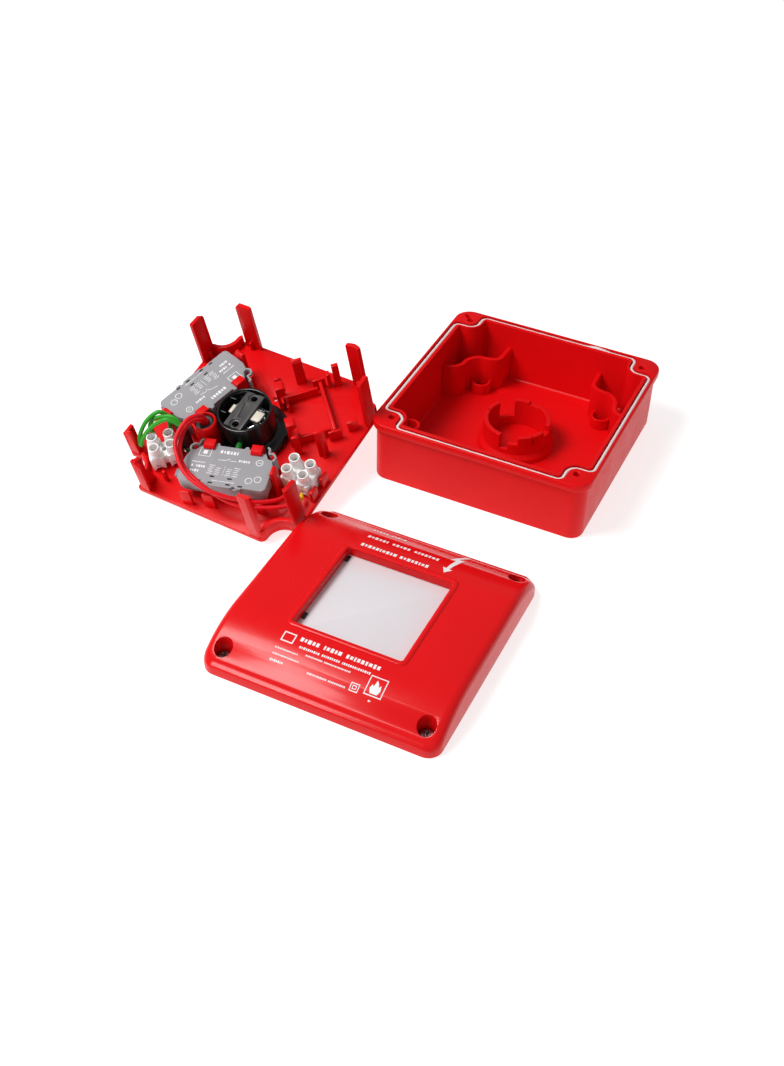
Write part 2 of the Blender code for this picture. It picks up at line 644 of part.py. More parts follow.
def make_terminal(name, towers, turn, top, frame):
    """A four-pole terminal block with an open tower over each clamping screw."""
    cx = sum(x for x, _ in towers) / 4
    cy = sum(y for _, y in towers) / 4
    body = turned_by(flat(rounded(7.6, 1.0, 2, half_y=6.3), BLOCK_LOW, BLOCK_TOP), turn)
    body.location = (cx * MM, cy * MM, 0)
    block = node(name, body, "white_plastic", frame)
    combine(block, [pin(2.7, BLOCK_LOW + 1, top, at, 16) for at in towers], "UNION", "towers")
    combine(block, [pin(1.95, BLOCK_LOW + 3, top + 5, at, 14) for at in towers]
            + [pin(1.2, BLOCK_LOW - 3, top + 5, (cx, cy), 10)], "DIFFERENCE", "wells")
    if turn == 0:
        ports = [box(x - 1.5, x + 1.5, cy - 6.35, cy - 1.35, BLOCK_LOW + 1.2, BLOCK_LOW + 4.2)
                 for x, _ in towers[2:]]
        combine(block, ports, "DIFFERENCE", "ports")
    for i, at in enumerate(towers):
        screw = node(name.replace("block", "screw") + f"_{i + 1}", pin(1.6, 6.2, 12.6, at, 12),
                     "screw_steel", frame)
        slot = box(at[0] - 3, at[0] + 3, at[1] - 0.3, at[1] + 0.3, 11.8, 15)
        combine(screw, [slot], "DIFFERENCE", "slot")


# ---------------------------------------------------------------- wires


REDS = (
    ((-13.18, -12.98, 18.5), (-13.2, -13.0, 22.5), (-13.9, -15.4, 28.0), (-16.0, -20.9, 30.0),
     (-16.9, -27.3, 28.5), (-15.8, -32.8, 26.5), (-11.7, -37.7, 24.5), (-6.3, -41.9, 22.5),
     (1.3, -44.6, 21.0), (10.3, -44.8, 19.0), (19.4, -42.2, 16.0), (28.3, -38.0, 12.8),
     (35.4, -31.6, 10.2), (37.2, -25.6, 8.1)),
    ((-14.42, -14.22, 18.5), (-14.42, -14.25, 21.5), (-15.1, -16.9, 25.5), (-16.6, -21.6, 26.5),
     (-16.2, -27.4, 25.0), (-13.5, -33.9, 23.0), (-7.8, -39.3, 20.5), (0.7, -42.3, 18.6),
     (9.5, -43.6, 16.2), (18.6, -43.0, 13.0), (27.0, -40.2, 10.9), (36.4, -35.0, 9.5),
     (42.6, -29.6, 8.6), (44.35, -26.0, 8.2)),
)
GREENS = (
    ((-23.58, -20.02, 17.5), (-23.55, -20.05, 20.6), (-28.5, -21.6, 24.4), (-32.8, -24.2, 23.0),
     (-37.2, -27.1, 19.0), (-41.1, -29.9, 13.0), (-42.0, -31.6, 9.5), (-43.4, -29.5, 12.6),
     (-41.0, -24.7, 19.5), (-36.8, -19.2, 23.0), (-33.6, -17.2, 20.0), (-32.9, -17.8, 15.5),
     (-32.9, -18.8, 11.7)),
    ((-24.82, -18.78, 17.5), (-24.85, -18.75, 20.2), (-28.6, -18.6, 22.8), (-33.6, -20.2, 22.4),
     (-38.6, -21.6, 19.4), (-40.8, -23.2, 15.4), (-40.0, -23.8, 12.9), (-39.4, -24.4, 11.4)),
)
# Start and end of each crimped sleeve, from its terminal to its wire.
FERRULES = (((34.8, -21.7, 7.0), (37.0, -25.2, 7.9)), ((42.5, -21.7, 7.0), (44.2, -25.2, 7.9)),
            ((-32.4, -19.9, 7.2), (-32.9, -18.9, 11.2)), ((-38.7, -25.6, 7.2), (-39.4, -24.4, 11.2)))


def make_wires(frame):
    """Red and green lamp wires and the yellow sleeves on their ends. All are soft."""
    for colour, routes in (("red", REDS), ("green", GREENS)):
        for i, route in enumerate(routes):
            node(f"{colour}_wire_{i + 1}", cord(through(route, 3), WIRE_R), f"wire_{colour}", frame)
    for i, (start, end) in enumerate(FERRULES):
        node(f"ferrule_{i + 1}", rod(start, end, 1.1), "ferrule_yellow", frame)


# ---------------------------------------------------------------- assembly


def main():
    clear_scene()
    collection("manual_call_point")
    collection("cutters", hidden=True)
    cover_frame = empty("cover_frame", Matrix.Translation((COVER_AT[0] * MM, COVER_AT[1] * MM, 0)))
    tilt = (Matrix.Rotation(radians(PANEL_YAW), 4, "Z") @ Matrix.Rotation(radians(PANEL_TILT), 4, "X")
            @ Matrix.Rotation(radians(PANEL_ROLL), 4, "Y"))
    panel_frame = empty("panel_frame", Matrix.Translation(Vector(PANEL_AT) * MM) @ tilt)
    make_base()
    make_cover(cover_frame)
    make_panel(panel_frame)
    make_lamps(panel_frame)
    make_button(panel_frame)
    make_contacts(panel_frame)
    make_terminal("terminal_block_right", RIGHT_TOWERS, 0, 16.8, panel_frame)
    make_terminal("terminal_block_left", LEFT_TOWERS, 43, 16.8, panel_frame)
    make_wires(panel_frame)


main()
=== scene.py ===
"""Looks for the opened manual call point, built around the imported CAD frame.

Every piece is drawn in millimetres in its sub-assembly's own frame, then baked into the row frame.
"""

import json
from math import atan2, cos, hypot, pi, radians, sin, sqrt

import bmesh
import bpy
from mathutils import Matrix, Vector

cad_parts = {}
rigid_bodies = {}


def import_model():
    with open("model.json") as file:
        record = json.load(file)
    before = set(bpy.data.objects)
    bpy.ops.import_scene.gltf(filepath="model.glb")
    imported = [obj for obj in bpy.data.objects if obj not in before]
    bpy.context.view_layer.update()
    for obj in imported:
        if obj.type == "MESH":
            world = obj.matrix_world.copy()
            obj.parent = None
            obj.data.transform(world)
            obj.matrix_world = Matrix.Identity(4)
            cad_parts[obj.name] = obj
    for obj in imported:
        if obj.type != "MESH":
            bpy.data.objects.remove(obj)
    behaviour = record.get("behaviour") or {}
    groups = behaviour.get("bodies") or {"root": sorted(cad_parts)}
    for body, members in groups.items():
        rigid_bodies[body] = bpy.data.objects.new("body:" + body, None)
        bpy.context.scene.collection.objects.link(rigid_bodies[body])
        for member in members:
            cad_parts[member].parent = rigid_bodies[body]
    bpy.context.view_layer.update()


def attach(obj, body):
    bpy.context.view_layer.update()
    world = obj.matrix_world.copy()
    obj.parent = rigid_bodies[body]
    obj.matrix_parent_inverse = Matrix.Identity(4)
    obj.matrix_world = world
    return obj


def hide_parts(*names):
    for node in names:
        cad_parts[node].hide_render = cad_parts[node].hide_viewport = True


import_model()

MM = 0.001

# ---------------------------------------------------------------- shared sizes, in millimetres

SCREW_AT = 46.0
CORNERS = ((1, 1), (1, -1), (-1, 1), (-1, -1))
BOX_HALF, LIP_HALF, BOX_HEIGHT, FLOOR = 52.8, 54.4, 33.0, 2.5
GROOVE_FLOOR, GROOVE_OUT, GROOVE_IN = 31.0, 53.2, 50.9
RING_IN, RING_OUT, RING_TOP = 14.2, 16.5, 17.0
COVER_HALF, COVER_RADIUS, NOSE = 54.0, 6.5, 4.0
ARCH_TOP, ARCH_FLAT, ARCH_R, ARCH_END = 15.5, 24.0, 46.0, 52.2
SHELL, WINDOW, POST_R, WELL_R, SCREW_HOLE = 2.6, 25.0, 5.6, 4.0, 1.9
PANE_HALF, PANE_LOW, PANE_TOP = 27.0, 9.2, 11.2
PLATE_HALF, PLATE, NOTCH_FILLET, NOTCH_R = 49.3, 2.6, 3.3, 8.0
WIDE_FILLET, WIDE_R = 1.2, 12.2
STATIONS = (-75.0, 165.0, 45.0)  # the angles of the contact places, the last of them free
BOSS_1, BOSS_2 = (-13.8, -13.6), (-24.2, -19.4)
SLEEVE_IN, SLEEVE_OUT, SLEEVE_TOP = 12.1, 13.1, 22.0
SPRING_TURNS, SPRING_R, SPRING_WIRE = 5.5, 7.9, 0.6
CASE_LOW, CASE_TOP = 10.4, 16.4
BLOCK_LOW, BLOCK_TOP, TOWER_TOP, TOWER_IN = 2.9, 11.4, 16.7, 1.95
WIRE_R = 1.05
INK_DEEP, INK_THICK = -0.03, 0.07

AT_BASE = Matrix.Scale(MM, 4)
AT_COVER = Matrix.Translation(Vector((-6.0, -143.3, 0)) * MM) @ AT_BASE
AT_PANEL = (
    Matrix.Translation(Vector((-108.44, -68.91, 13.86)) * MM)
    @ Matrix.Rotation(radians(-4.35), 4, "Z")
    @ Matrix.Rotation(radians(15.8), 4, "X")
    @ Matrix.Rotation(radians(0.5), 4, "Y")
    @ AT_BASE
)


# ---------------------------------------------------------------- mesh tools


def round_edges(bm, width, segments=2, angle=30.0, keep=None):
    """Bevels every edge sharper than the angle."""
    edges = [e for e in bm.edges if len(e.link_faces) == 2 and e.calc_face_angle(0) > radians(angle)
             and (keep is None or keep(e))]
    if edges:
        bmesh.ops.bevel(bm, geom=edges, offset=width, offset_type="OFFSET", segments=segments,
                        profile=0.5, affect="EDGES", clamp_overlap=True)
    return bm


def prism(outline, low, high, edge=0.0):
    """A closed prism over a 2D outline, with its edges rounded."""
    bm = bmesh.new()
    face = bm.faces.new([bm.verts.new((x, y, low)) for x, y in outline])
    moved = bmesh.ops.extrude_face_region(bm, geom=[face])
    top = [v for v in moved["geom"] if isinstance(v, bmesh.types.BMVert)]
    bmesh.ops.translate(bm, verts=top, vec=(0, 0, high - low))
    bmesh.ops.recalc_face_normals(bm, faces=bm.faces)
    return round_edges(bm, edge) if edge else bm


def side_prism(profile, y0, y1, edge=0.0):
    """A prism along Y over an (x, z) outline."""
    return spin(prism(profile, -y1, -y0, edge), 90, "X")


def spin(bm, angle, axis="Z"):
    bmesh.ops.rotate(bm, cent=(0, 0, 0), matrix=Matrix.Rotation(radians(angle), 3, axis), verts=bm.verts)
    return bm


def shift(bm, x=0.0, y=0.0, z=0.0):
    bmesh.ops.translate(bm, vec=(x, y, z), verts=bm.verts)
    return bm


def skin(loops, closed=True):
    """Quads between loops of equal length, in turn."""
    bm = bmesh.new()
    rings = [[bm.verts.new(p) for p in loop] for loop in loops]
    count = len(rings[0])
    pairs = list(zip(rings, rings[1:])) + ([(rings[-1], rings[0])] if closed else [])
    for one, two in pairs:
        for i in range(count):
            j = (i + 1) % count
            bm.faces.new((one[i], one[j], two[j], two[i]))
    bmesh.ops.recalc_face_normals(bm, faces=bm.faces)
    return bm


def lathe(profile, centre=(0, 0), steps=48):
    """Revolves a closed (radius, height) outline about the vertical through the centre."""
    bm = bmesh.new()
    poles = {i: bm.verts.new((centre[0], centre[1], z)) for i, (r, z) in enumerate(profile) if r < 1e-6}
    columns = []
    for k in range(steps):
        a = 2 * pi * k / steps
        columns.append([poles[i] if i in poles else
                        bm.verts.new((centre[0] + r * cos(a), centre[1] + r * sin(a), z))
                        for i, (r, z) in enumerate(profile)])
    for k in range(steps):
        one, two = columns[k], columns[(k + 1) % steps]
        for i in range(len(profile)):
            j = (i + 1) % len(profile)
            kept = []
            for v in (one[i], one[j], two[j], two[i]):
                if v not in kept:
                    kept.append(v)
            if len(kept) > 2:
                bm.faces.new(kept)
    bmesh.ops.recalc_face_normals(bm, faces=bm.faces)
    return bm


def soften(points, radius, steps=3, fixed=(), turned=True):
    """Rounds an outline's corners, but not those in fixed, nor a turned outline's corners on its axis."""
    done = []
    count = len(points)
    for i, p in enumerate(points):
        a, b = Vector(points[i - 1]), Vector(points[(i + 1) % count])
        p = Vector(p)
        one, two = a - p, b - p
        if (turned and p.x < 1e-6) or i in fixed or one.length < 1e-6 or two.length < 1e-6:
            done.append(tuple(p))
            continue
        reach = min(radius, one.length * 0.45, two.length * 0.45)
        start, end = p + one.normalized() * reach, p + two.normalized() * reach
        for k in range(steps + 1):
            t = k / steps
            done.append(tuple(start * (1 - t) ** 2 + p * 2 * t * (1 - t) + end * t * t))
    return done


def rounded(half, radius, steps=6, centre=(0, 0), half_y=None):
    """A rectangle with rounded corners, counter-clockwise."""
    half_y = half if half_y is None else half_y
    points = []
    for k, (sx, sy) in enumerate(((1, -1), (1, 1), (-1, 1), (-1, -1))):
        for i in range(steps + 1):
            a = -pi / 2 + k * pi / 2 + i * pi / 2 / steps
            points.append((centre[0] + sx * (half - radius) + radius * cos(a),
                           centre[1] + sy * (half_y - radius) + radius * sin(a)))
    return points


def rect(x0, x1, y0, y1):
    return [(x0, y0), (x1, y0), (x1, y1), (x0, y1)]


def block(x0, x1, y0, y1, low, high, edge=0.0):
    return prism(rect(x0, x1, y0, y1), low, high, edge)


def circle(radius, centre=(0, 0), steps=32):
    angles = [2 * pi * i / steps for i in range(steps)]
    return [(centre[0] + radius * cos(a), centre[1] + radius * sin(a)) for a in angles]


def at_height(outline, z):
    return [(x, y, z) for x, y in outline]


def quarters(points, front_left=None):
    """The same points turned to all four corners. The front left corner can have its own."""
    done = []
    for k, (c, s) in enumerate(((1, 0), (0, 1), (-1, 0), (0, -1))):
        corner = front_left if front_left and k == 2 else points
        done += [(x * c - y * s, x * s + y * c) for x, y in corner]
    return done


def screw_corner(half, fillet, around, steps=6):
    """One corner of a square line that goes round the inner side of the corner screw."""
    low = SCREW_AT - around - fillet
    turn = [i * pi / 2 / steps for i in range(steps + 1)]
    points = [(half - fillet + fillet * cos(a), low + fillet * sin(a)) for a in turn]
    points += [(SCREW_AT + around * cos(-pi / 2 - i * pi / 4 / steps),
                SCREW_AT + around * sin(-pi / 2 - i * pi / 4 / steps)) for i in range(2 * steps + 1)]
    return points + [(low + fillet * cos(a), half - fillet + fillet * sin(a)) for a in turn]


def screw_contour(half, fillet, around, steps=6):
    return quarters(screw_corner(half, fillet, around, steps))


def strip(path, width):
    """A 2D band of even width along an open path."""
    left, right = [], []
    for i, (x, y) in enumerate(path):
        x0, y0 = path[max(i - 1, 0)]
        x1, y1 = path[min(i + 1, len(path) - 1)]
        length = hypot(x1 - x0, y1 - y0)
        nx, ny = -(y1 - y0) / length * width / 2, (x1 - x0) / length * width / 2
        left.append((x + nx, y + ny))
        right.append((x - nx, y - ny))
    return right + left[::-1]


def sector(r0, r1, a0, a1, centre=(0, 0), step=4.0):
    count = max(1, int(abs(a1 - a0) / step + 0.5))
    angles = [radians(a0 + (a1 - a0) * i / count) for i in range(count + 1)]
    outer = [(centre[0] + r1 * cos(a), centre[1] + r1 * sin(a)) for a in angles]
    inner = [(centre[0] + r0 * cos(a), centre[1] + r0 * sin(a)) for a in reversed(angles)]
    return outer + inner


def through(points, per=6):
    """Points along a smooth curve through the given ones."""
    done = []
    for i in range(len(points) - 1):
        p0, p1 = points[max(i - 1, 0)], points[i]
        p2, p3 = points[i + 1], points[min(i + 2, len(points) - 1)]
        for k in range(per):
            t = k / per
            done.append(tuple(
                0.5 * (2 * b + (c - a) * t + (2 * a - 5 * b + 4 * c - d) * t * t
                       + (3 * b - a - 3 * c + d) * t * t * t)
                for a, b, c, d in zip(p0, p1, p2, p3)))
    return done + [tuple(points[-1])]


def mesh_of(bm, name="part"):
    mesh = bpy.data.meshes.new(name)
    bm.to_mesh(mesh)
    bm.free()
    return mesh


def join(parts):
    """One bmesh holding every part as its own closed shell."""
    whole = bmesh.new()
    for part in parts:
        mesh = mesh_of(part)
        whole.from_mesh(mesh)
        bpy.data.meshes.remove(mesh)
    return whole


def carve(bm, others):
    """Cuts closed bodies out of one, and gives back a bmesh with flat areas in one face each."""
    target = bpy.data.objects.new("target", mesh_of(bm))
    bpy.context.scene.collection.objects.link(target)
    tools = bpy.data.collections.new("tools")
    bpy.context.scene.collection.children.link(tools)
    for other in others:
        tools.objects.link(bpy.data.objects.new("tool", mesh_of(other)))
    modifier = target.modifiers.new("carve", "BOOLEAN")
    modifier.operation, modifier.operand_type = "DIFFERENCE", "COLLECTION"
    modifier.collection, modifier.solver = tools, "EXACT"
    graph = bpy.context.evaluated_depsgraph_get()
    result = bmesh.new()
    made = target.evaluated_get(graph).to_mesh()
    result.from_mesh(made)
    target.evaluated_get(graph).to_mesh_clear()
    for obj in [target, *tools.objects]:
        mesh = obj.data
        bpy.data.objects.remove(obj)
        bpy.data.meshes.remove(mesh)
    bpy.data.collections.remove(tools)
    bmesh.ops.remove_doubles(result, verts=result.verts, dist=1e-4)
    bmesh.ops.dissolve_limit(result, angle_limit=radians(0.6), verts=result.verts, edges=result.edges)
    return result


def piece(name, parts, at, material, body, stands_for=(), angle=25.0):
    """Bakes the parts into the row frame as one shown piece."""
    bm = join(parts) if isinstance(parts, list) else parts
    bmesh.ops.recalc_face_normals(bm, faces=bm.faces)
    bm.transform(at)
    obj = bpy.data.objects.new(name, mesh_of(bm, name))
    bpy.context.scene.collection.objects.link(obj)
    obj.data.materials.append(material)
    for polygon in obj.data.polygons:
        polygon.use_smooth = True
    obj.data.set_sharp_from_angle(angle=radians(angle))
    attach(obj, body)
    if stands_for:
        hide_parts(*stands_for)


def on_panel(name, parts, material, stands_for=(), body="panel", angle=25.0):
    piece(name, parts, AT_PANEL, material, body, stands_for, angle)


# ---------------------------------------------------------------- materials


def dial(node, **values):
    """Sets a node's inputs, each named with _ for a space."""
    for name, value in values.items():
        node.inputs[name.replace("_", " ")].default_value = value


def new_material(name):
    material = bpy.data.materials.new(name)
    material.use_nodes = True
    tree = material.node_tree
    return material, tree, tree.nodes["Principled BSDF"]


def noise(tree, scale, detail=4.0, rough=0.55):
    """Noise in object space. Scale is per metre."""
    coords = tree.nodes.new("ShaderNodeTexCoord")
    node = tree.nodes.new("ShaderNodeTexNoise")
    dial(node, Scale=scale, Detail=detail, Roughness=rough)
    tree.links.new(coords.outputs["Object"], node.inputs["Vector"])
    return node.outputs["Fac"]


def ramp(tree, fac, stops):
    node = tree.nodes.new("ShaderNodeValToRGB")
    elements = node.color_ramp.elements
    while len(elements) < len(stops):
        elements.new(0.5)
    for element, (at, colour) in zip(elements, stops):
        element.position = at
        element.color = (*colour, 1) if len(colour) == 3 else (colour[0],) * 3 + (1,)
    tree.links.new(fac, node.inputs["Fac"])
    return node.outputs["Color"]


def bump(tree, shader, fac, strength, distance):
    node = tree.nodes.new("ShaderNodeBump")
    dial(node, Strength=strength, Distance=distance)
    tree.links.new(fac, node.inputs["Height"])
    tree.links.new(node.outputs["Normal"], shader.inputs["Normal"])


def plastic(name, colour, rough, coat=0.0, mottle=0.05, grain=(2600.0, 0.12), flow=24.0, glow=0.0,
            gloss=0.5):
    """Moulded plastic: slow flow marks in the colour and the gloss, over a fine spark-eroded grain."""
    material, tree, shader = new_material(name)
    dark, light = ([min(c * share, 1) for c in colour] for share in (1 - mottle, 1 + mottle))
    paint = ramp(tree, noise(tree, flow, 3.0), ((0.3, dark), (0.7, light)))
    tree.links.new(paint, shader.inputs["Base Color"])
    polish = ramp(tree, noise(tree, flow * 6, 5.0), ((0.3, (rough * 0.88,)), (0.75, (rough * 1.14,))))
    tree.links.new(polish, shader.inputs["Roughness"])
    bump(tree, shader, noise(tree, grain[0], 3.0), grain[1], 0.00012)
    dial(shader, Specular_IOR_Level=gloss, Coat_Weight=coat, Coat_Roughness=0.12)
    if glow:
        dial(shader, Subsurface_Weight=glow, Subsurface_Radius=(0.004, 0.0008, 0.0006), Subsurface_Scale=0.6)
    return material


def metal(name, colour, rough):
    """Plated steel with fine drawn or turned marks."""
    material, tree, shader = new_material(name)
    fac = noise(tree, 900.0, 6.0, 0.7)
    paint = ramp(tree, fac, ((0.3, [c * 0.8 for c in colour]), (0.7, colour)))
    tree.links.new(paint, shader.inputs["Base Color"])
    polish = ramp(tree, fac, ((0.3, (rough * 0.7,)), (0.7, (rough * 1.3,))))
    tree.links.new(polish, shader.inputs["Roughness"])
    bump(tree, shader, fac, 0.1, 0.00005)
    dial(shader, Metallic=1.0)
    return material


def pane_material():
    """A pale, slightly milky pane with a faint wavy surface."""
    material, tree, shader = new_material("pane")
    paint = ramp(tree, noise(tree, 16.0, 2.0), ((0.3, (0.80, 0.77, 0.80)), (0.7, (0.85, 0.82, 0.85))))
    tree.links.new(paint, shader.inputs["Base Color"])
    polish = ramp(tree, noise(tree, 60.0, 3.0), ((0.3, (0.10,)), (0.7, (0.16,))))
    tree.links.new(polish, shader.inputs["Roughness"])
    bump(tree, shader, noise(tree, 45.0, 2.0), 0.05, 0.0002)
    dial(shader, Transmission_Weight=0.12, Coat_Weight=0.5, Coat_Roughness=0.05)
    return material


RED = plastic("red_satin", (0.720, 0.0034, 0.0050), 0.38, coat=0.02, mottle=0.04, gloss=0.1)
RED_DEEP = plastic("red_carrier", (0.700, 0.0030, 0.0046), 0.37, coat=0.03, mottle=0.04, gloss=0.14)
RED_GLOSS = plastic("red_lid", (0.730, 0.0040, 0.0060), 0.25, coat=0.09, mottle=0.03,
                    grain=(1500.0, 0.04), gloss=0.2)
GASKET = plastic("gasket", (0.80, 0.70, 0.69), 0.75, mottle=0.04, grain=(1800.0, 0.35))
BLACK = plastic("black_gloss", (0.010, 0.009, 0.009), 0.2, coat=0.08, mottle=0.15,
                grain=(900.0, 0.015), gloss=0.35)
BLACK_MATTE = plastic("black_matte", (0.014, 0.014, 0.015), 0.5, mottle=0.2)
SMOKY = plastic("smoky", (0.060, 0.055, 0.055), 0.36, coat=0.12, mottle=0.3, flow=90.0,
                grain=(500.0, 0.08), gloss=0.35)
GREY = plastic("contact_grey", (0.330, 0.325, 0.340), 0.6, mottle=0.03, grain=(2600.0, 0.18), gloss=0.15)
GREY_DARK = plastic("contact_grey_dark", (0.215, 0.210, 0.225), 0.55, mottle=0.05)
WHITE = plastic("terminal_white", (0.90, 0.87, 0.86), 0.42, coat=0.08, mottle=0.02, glow=0.2)
IVORY = plastic("latch_ivory", (0.66, 0.61, 0.50), 0.45, mottle=0.04)
INK = plastic("white_ink", (0.82, 0.82, 0.83), 0.6, mottle=0.02)
# Matt black for the print on the end sticker, and for the fills that paint shade into the contact blocks'
# slots.
BLACK_PRINT_AND_SLOT_SHADE = plastic("black_print_and_slot_shade", (0.006, 0.006, 0.007), 0.7, mottle=0.1)
STICKER = plastic("pale_sticker", (0.74, 0.52, 0.49), 0.6, mottle=0.05)
GREEN = plastic("green_plunger", (0.010, 0.17, 0.024), 0.45, mottle=0.05)
RUBBER = plastic("black_rubber", (0.012, 0.012, 0.013), 0.45, mottle=0.15, grain=(1200.0, 0.3))
FERRULE = plastic("ferrule", (0.86, 0.55, 0.012), 0.4, mottle=0.05)
WIRE_RED = plastic("wire_red", (0.72, 0.006, 0.014), 0.42, mottle=0.05, flow=60.0,
                   grain=(900.0, 0.2), gloss=0.2)
WIRE_GREEN = plastic("wire_green", (0.035, 0.36, 0.022), 0.38, mottle=0.06, flow=60.0,
                     grain=(900.0, 0.2), gloss=0.3)
LAMP_RED = plastic("lamp_red", (0.55, 0.02, 0.02), 0.12, coat=0.6)
LAMP_GREEN = plastic("lamp_green", (0.03, 0.42, 0.06), 0.12, coat=0.6)
# The lid screws' steel is darkened and tinted red: painted shade of the deep wells and a painted reflection
# of the red cover around them.
WELL_SHADE_STEEL = metal("steel_painted_well_shade", (0.34, 0.27, 0.27), 0.3)
STEEL = metal("plated_steel", (0.62, 0.61, 0.60), 0.32)
SPRING = metal("spring_wire", (0.52, 0.52, 0.53), 0.28)
PANE = pane_material()


# ---------------------------------------------------------------- base box


def base_shell():
    """The wall box as one skin: outside, lip, flange top, gasket groove, inner wall and floor."""
    outside = [(52.2, 5.9, 0.0), (52.6, 6.3, 0.25), (BOX_HALF, 6.5, 0.8), (BOX_HALF, 6.5, 28.6),
               (52.95, 6.6, 28.9), (53.9, 7.5, 29.0), (54.25, 7.85, 29.15), (LIP_HALF, 8.0, 29.5),
               (LIP_HALF, 8.0, 32.3), (54.25, 7.85, 32.75), (53.95, 7.55, 32.95), (53.8, 7.4, BOX_HEIGHT)]
    inside = [(53.3, 4.0, 3.7, BOX_HEIGHT),
              (GROOVE_OUT, 3.9, 3.8, 32.85), (GROOVE_OUT, 3.9, 3.8, GROOVE_FLOOR),
              (GROOVE_IN, 1.6, 6.1, GROOVE_FLOOR), (GROOVE_IN, 1.6, 6.1, 32.8), (50.7, 1.5, 6.3, BOX_HEIGHT),
              (49.5, 1.3, 6.8, BOX_HEIGHT), (49.15, 1.1, 7.05, 32.85), (49.0, 1.0, 7.2, 32.4),
              (48.8, 1.0, 7.2, 4.2), (48.6, 1.0, 7.3, 3.2), (47.9, 1.0, 7.6, 2.6), (47.2, 1.0, 7.9, FLOOR)]
    pilot = [(1.85, BOX_HEIGHT), (1.6, 32.8), (1.5, 32.4), (1.5, 25.0), (0.1, 24.0)]
    skins = [skin([at_height(rounded(half, r, 8), z) for half, r, z in outside], closed=False),
             skin([at_height(screw_contour(*row), z) for *row, z in inside], closed=False)]
    for sx, sy in CORNERS:
        slot = 5.3 if (sx, sy) == (-1, 1) else 1.0
        at = (sx * SCREW_AT, sy * SCREW_AT)
        loops = [at_height(keyhole(r, slot * min(r, 1.5) / 1.5, at), z) for r, z in pilot]
        skins.append(skin(loops, closed=False))
    whole = join(skins)
    bmesh.ops.remove_doubles(whole, verts=whole.verts, dist=1e-4)
    for level in (FLOOR, 0.0, BOX_HEIGHT):
        rims = [e for e in whole.edges if e.is_boundary and abs(e.verts[0].co.z - level) < 1e-3]
        bmesh.ops.triangle_fill(whole, use_beauty=True, use_dissolve=False, edges=rims)
    bmesh.ops.recalc_face_normals(whole, faces=whole.faces)
    return whole


def keyhole(r, reach, at):
    """A round hole with a narrow slot that runs out of it to the back left."""
    half = r * 0.5
    gap = atan2(half, sqrt(r * r - half * half))
    angles = [gap + (2 * pi - 2 * gap) * i / 20 for i in range(21)]
    points = [(r * cos(a), r * sin(a)) for a in angles]
    if reach > r:
        points += [(reach, -half), (reach + half * 0.7, 0), (reach, half)]
    else:
        points += [(r * cos(a), r * sin(a)) for a in (-gap / 2, 0, gap / 2)]
    turn = radians(137)
    return [(at[0] + x * cos(turn) - y * sin(turn), at[1] + x * sin(turn) + y * cos(turn)) for x, y in points]


def ring_part():
    profile = soften([(RING_IN, 1.9), (18.8, 1.9), (18.5, 5.0), (RING_OUT, 7.0), (RING_OUT, RING_TOP),
                      (RING_IN, RING_TOP)], 0.35, 2, fixed=(0, 1))
    ring = lathe(profile, steps=96)
    gaps = ((116, 148, 7.5), (68, 88, 15.8), (-17, 3, 13.8), (-41.5, -39, 12.0), (-86, -67, 13.0),
            (-99, -84, 9.5), (176.6, 179.4, 12.0))
    cut = carve(ring, [prism(sector(12.5, 18.2, a0, a1), z, 20) for a0, a1, z in gaps])
    return round_edges(cut, 0.22, 2, 45.0, keep=lambda e: min(v.co.z for v in e.verts) > 6.9)


CORNER_WALL = ((48.9, 19.8), (43.6, 20.8), (40.6, 24.5), (39.6, 29.5), (35.5, 34.0), (29.5, 35.0),
               (25.5, 37.5), (24.8, 42.0), (24.5, 48.9))


def base_details():
    """Centre ring, corner walls, bosses, and a collar with a stud near each corner."""
    parts = [ring_part()]
    collar = soften([(3.75, 2.0), (5.15, 2.0), (5.0, 8.5), (3.8, 8.5)], 0.3)
    stud = [(0, 2.2), (1.6, 2.2), (1.6, 3.1), (1.3, 3.4), (0, 3.4)]
    boss = soften([(3.3, 2.0), (4.7, 2.0), (4.7, 21.5), (3.3, 21.5)], 0.35)
    core = [(0, 2.0), (3.5, 2.0), (3.5, 16.0), (0, 16.0)]
    for side in (1, -1):
        path = through([(side * x, y) for x, y in CORNER_WALL], 5)
        parts.append(prism(strip(path, 2.2), 2.0, 21.0, 0.3))
        parts += [lathe(boss, (side * 42.0, -33.6), 40), lathe(core, (side * 42.0, -33.6), 24)]
    for sx, sy in CORNERS:
        at = (sx * 32.5, sy * 32.0)
        parts += [lathe(collar, at, 40), lathe(stud, at, 24)]
    return parts


def gasket_part():
    """The soft cord in its groove, pushed up and out along one stretch of the back side."""
    rows = ((52.8, 31.2), (52.8, 31.8), (52.6, 32.15), (52.2, 32.3), (51.9, 32.3), (51.5, 32.15),
            (51.3, 31.8), (51.3, 31.2))
    bm = skin([at_height(screw_contour(half, half - 49.3, 57.0 - half), z) for half, z in rows])
    long_edges = [e for e in bm.edges if e.calc_length() > 40]
    bmesh.ops.subdivide_edges(bm, edges=long_edges, cuts=36, use_grid_fill=True)
    for v in bm.verts:
        x, y, z = v.co
        if y > 50 and 13 < x < 29:
            lift = sin(pi * (x - 13) / 16) ** 2
            v.co.z += 0.85 * lift
            v.co.y += 0.3 * lift * (1 if y > 52.05 else -0.6)
        v.co.z += 0.05 * sin(x * 0.9) * sin(y * 0.7)
    return bm


piece("base_shell", base_shell(), AT_BASE, RED, "base", ("base_box",))
piece("base_details", base_details(), AT_BASE, RED, "base", ())
piece("gasket_cord", gasket_part(), AT_BASE, GASKET, "base", ("base_gasket",), 60)


# ---------------------------------------------------------------- front cover


def arch(v):
    """Height of the cover's outer surface at a distance from its middle line."""
    v = min(abs(v), ARCH_END)
    return ARCH_TOP - (0 if v <= ARCH_FLAT else ARCH_R - sqrt(ARCH_R ** 2 - (v - ARCH_FLAT) ** 2))


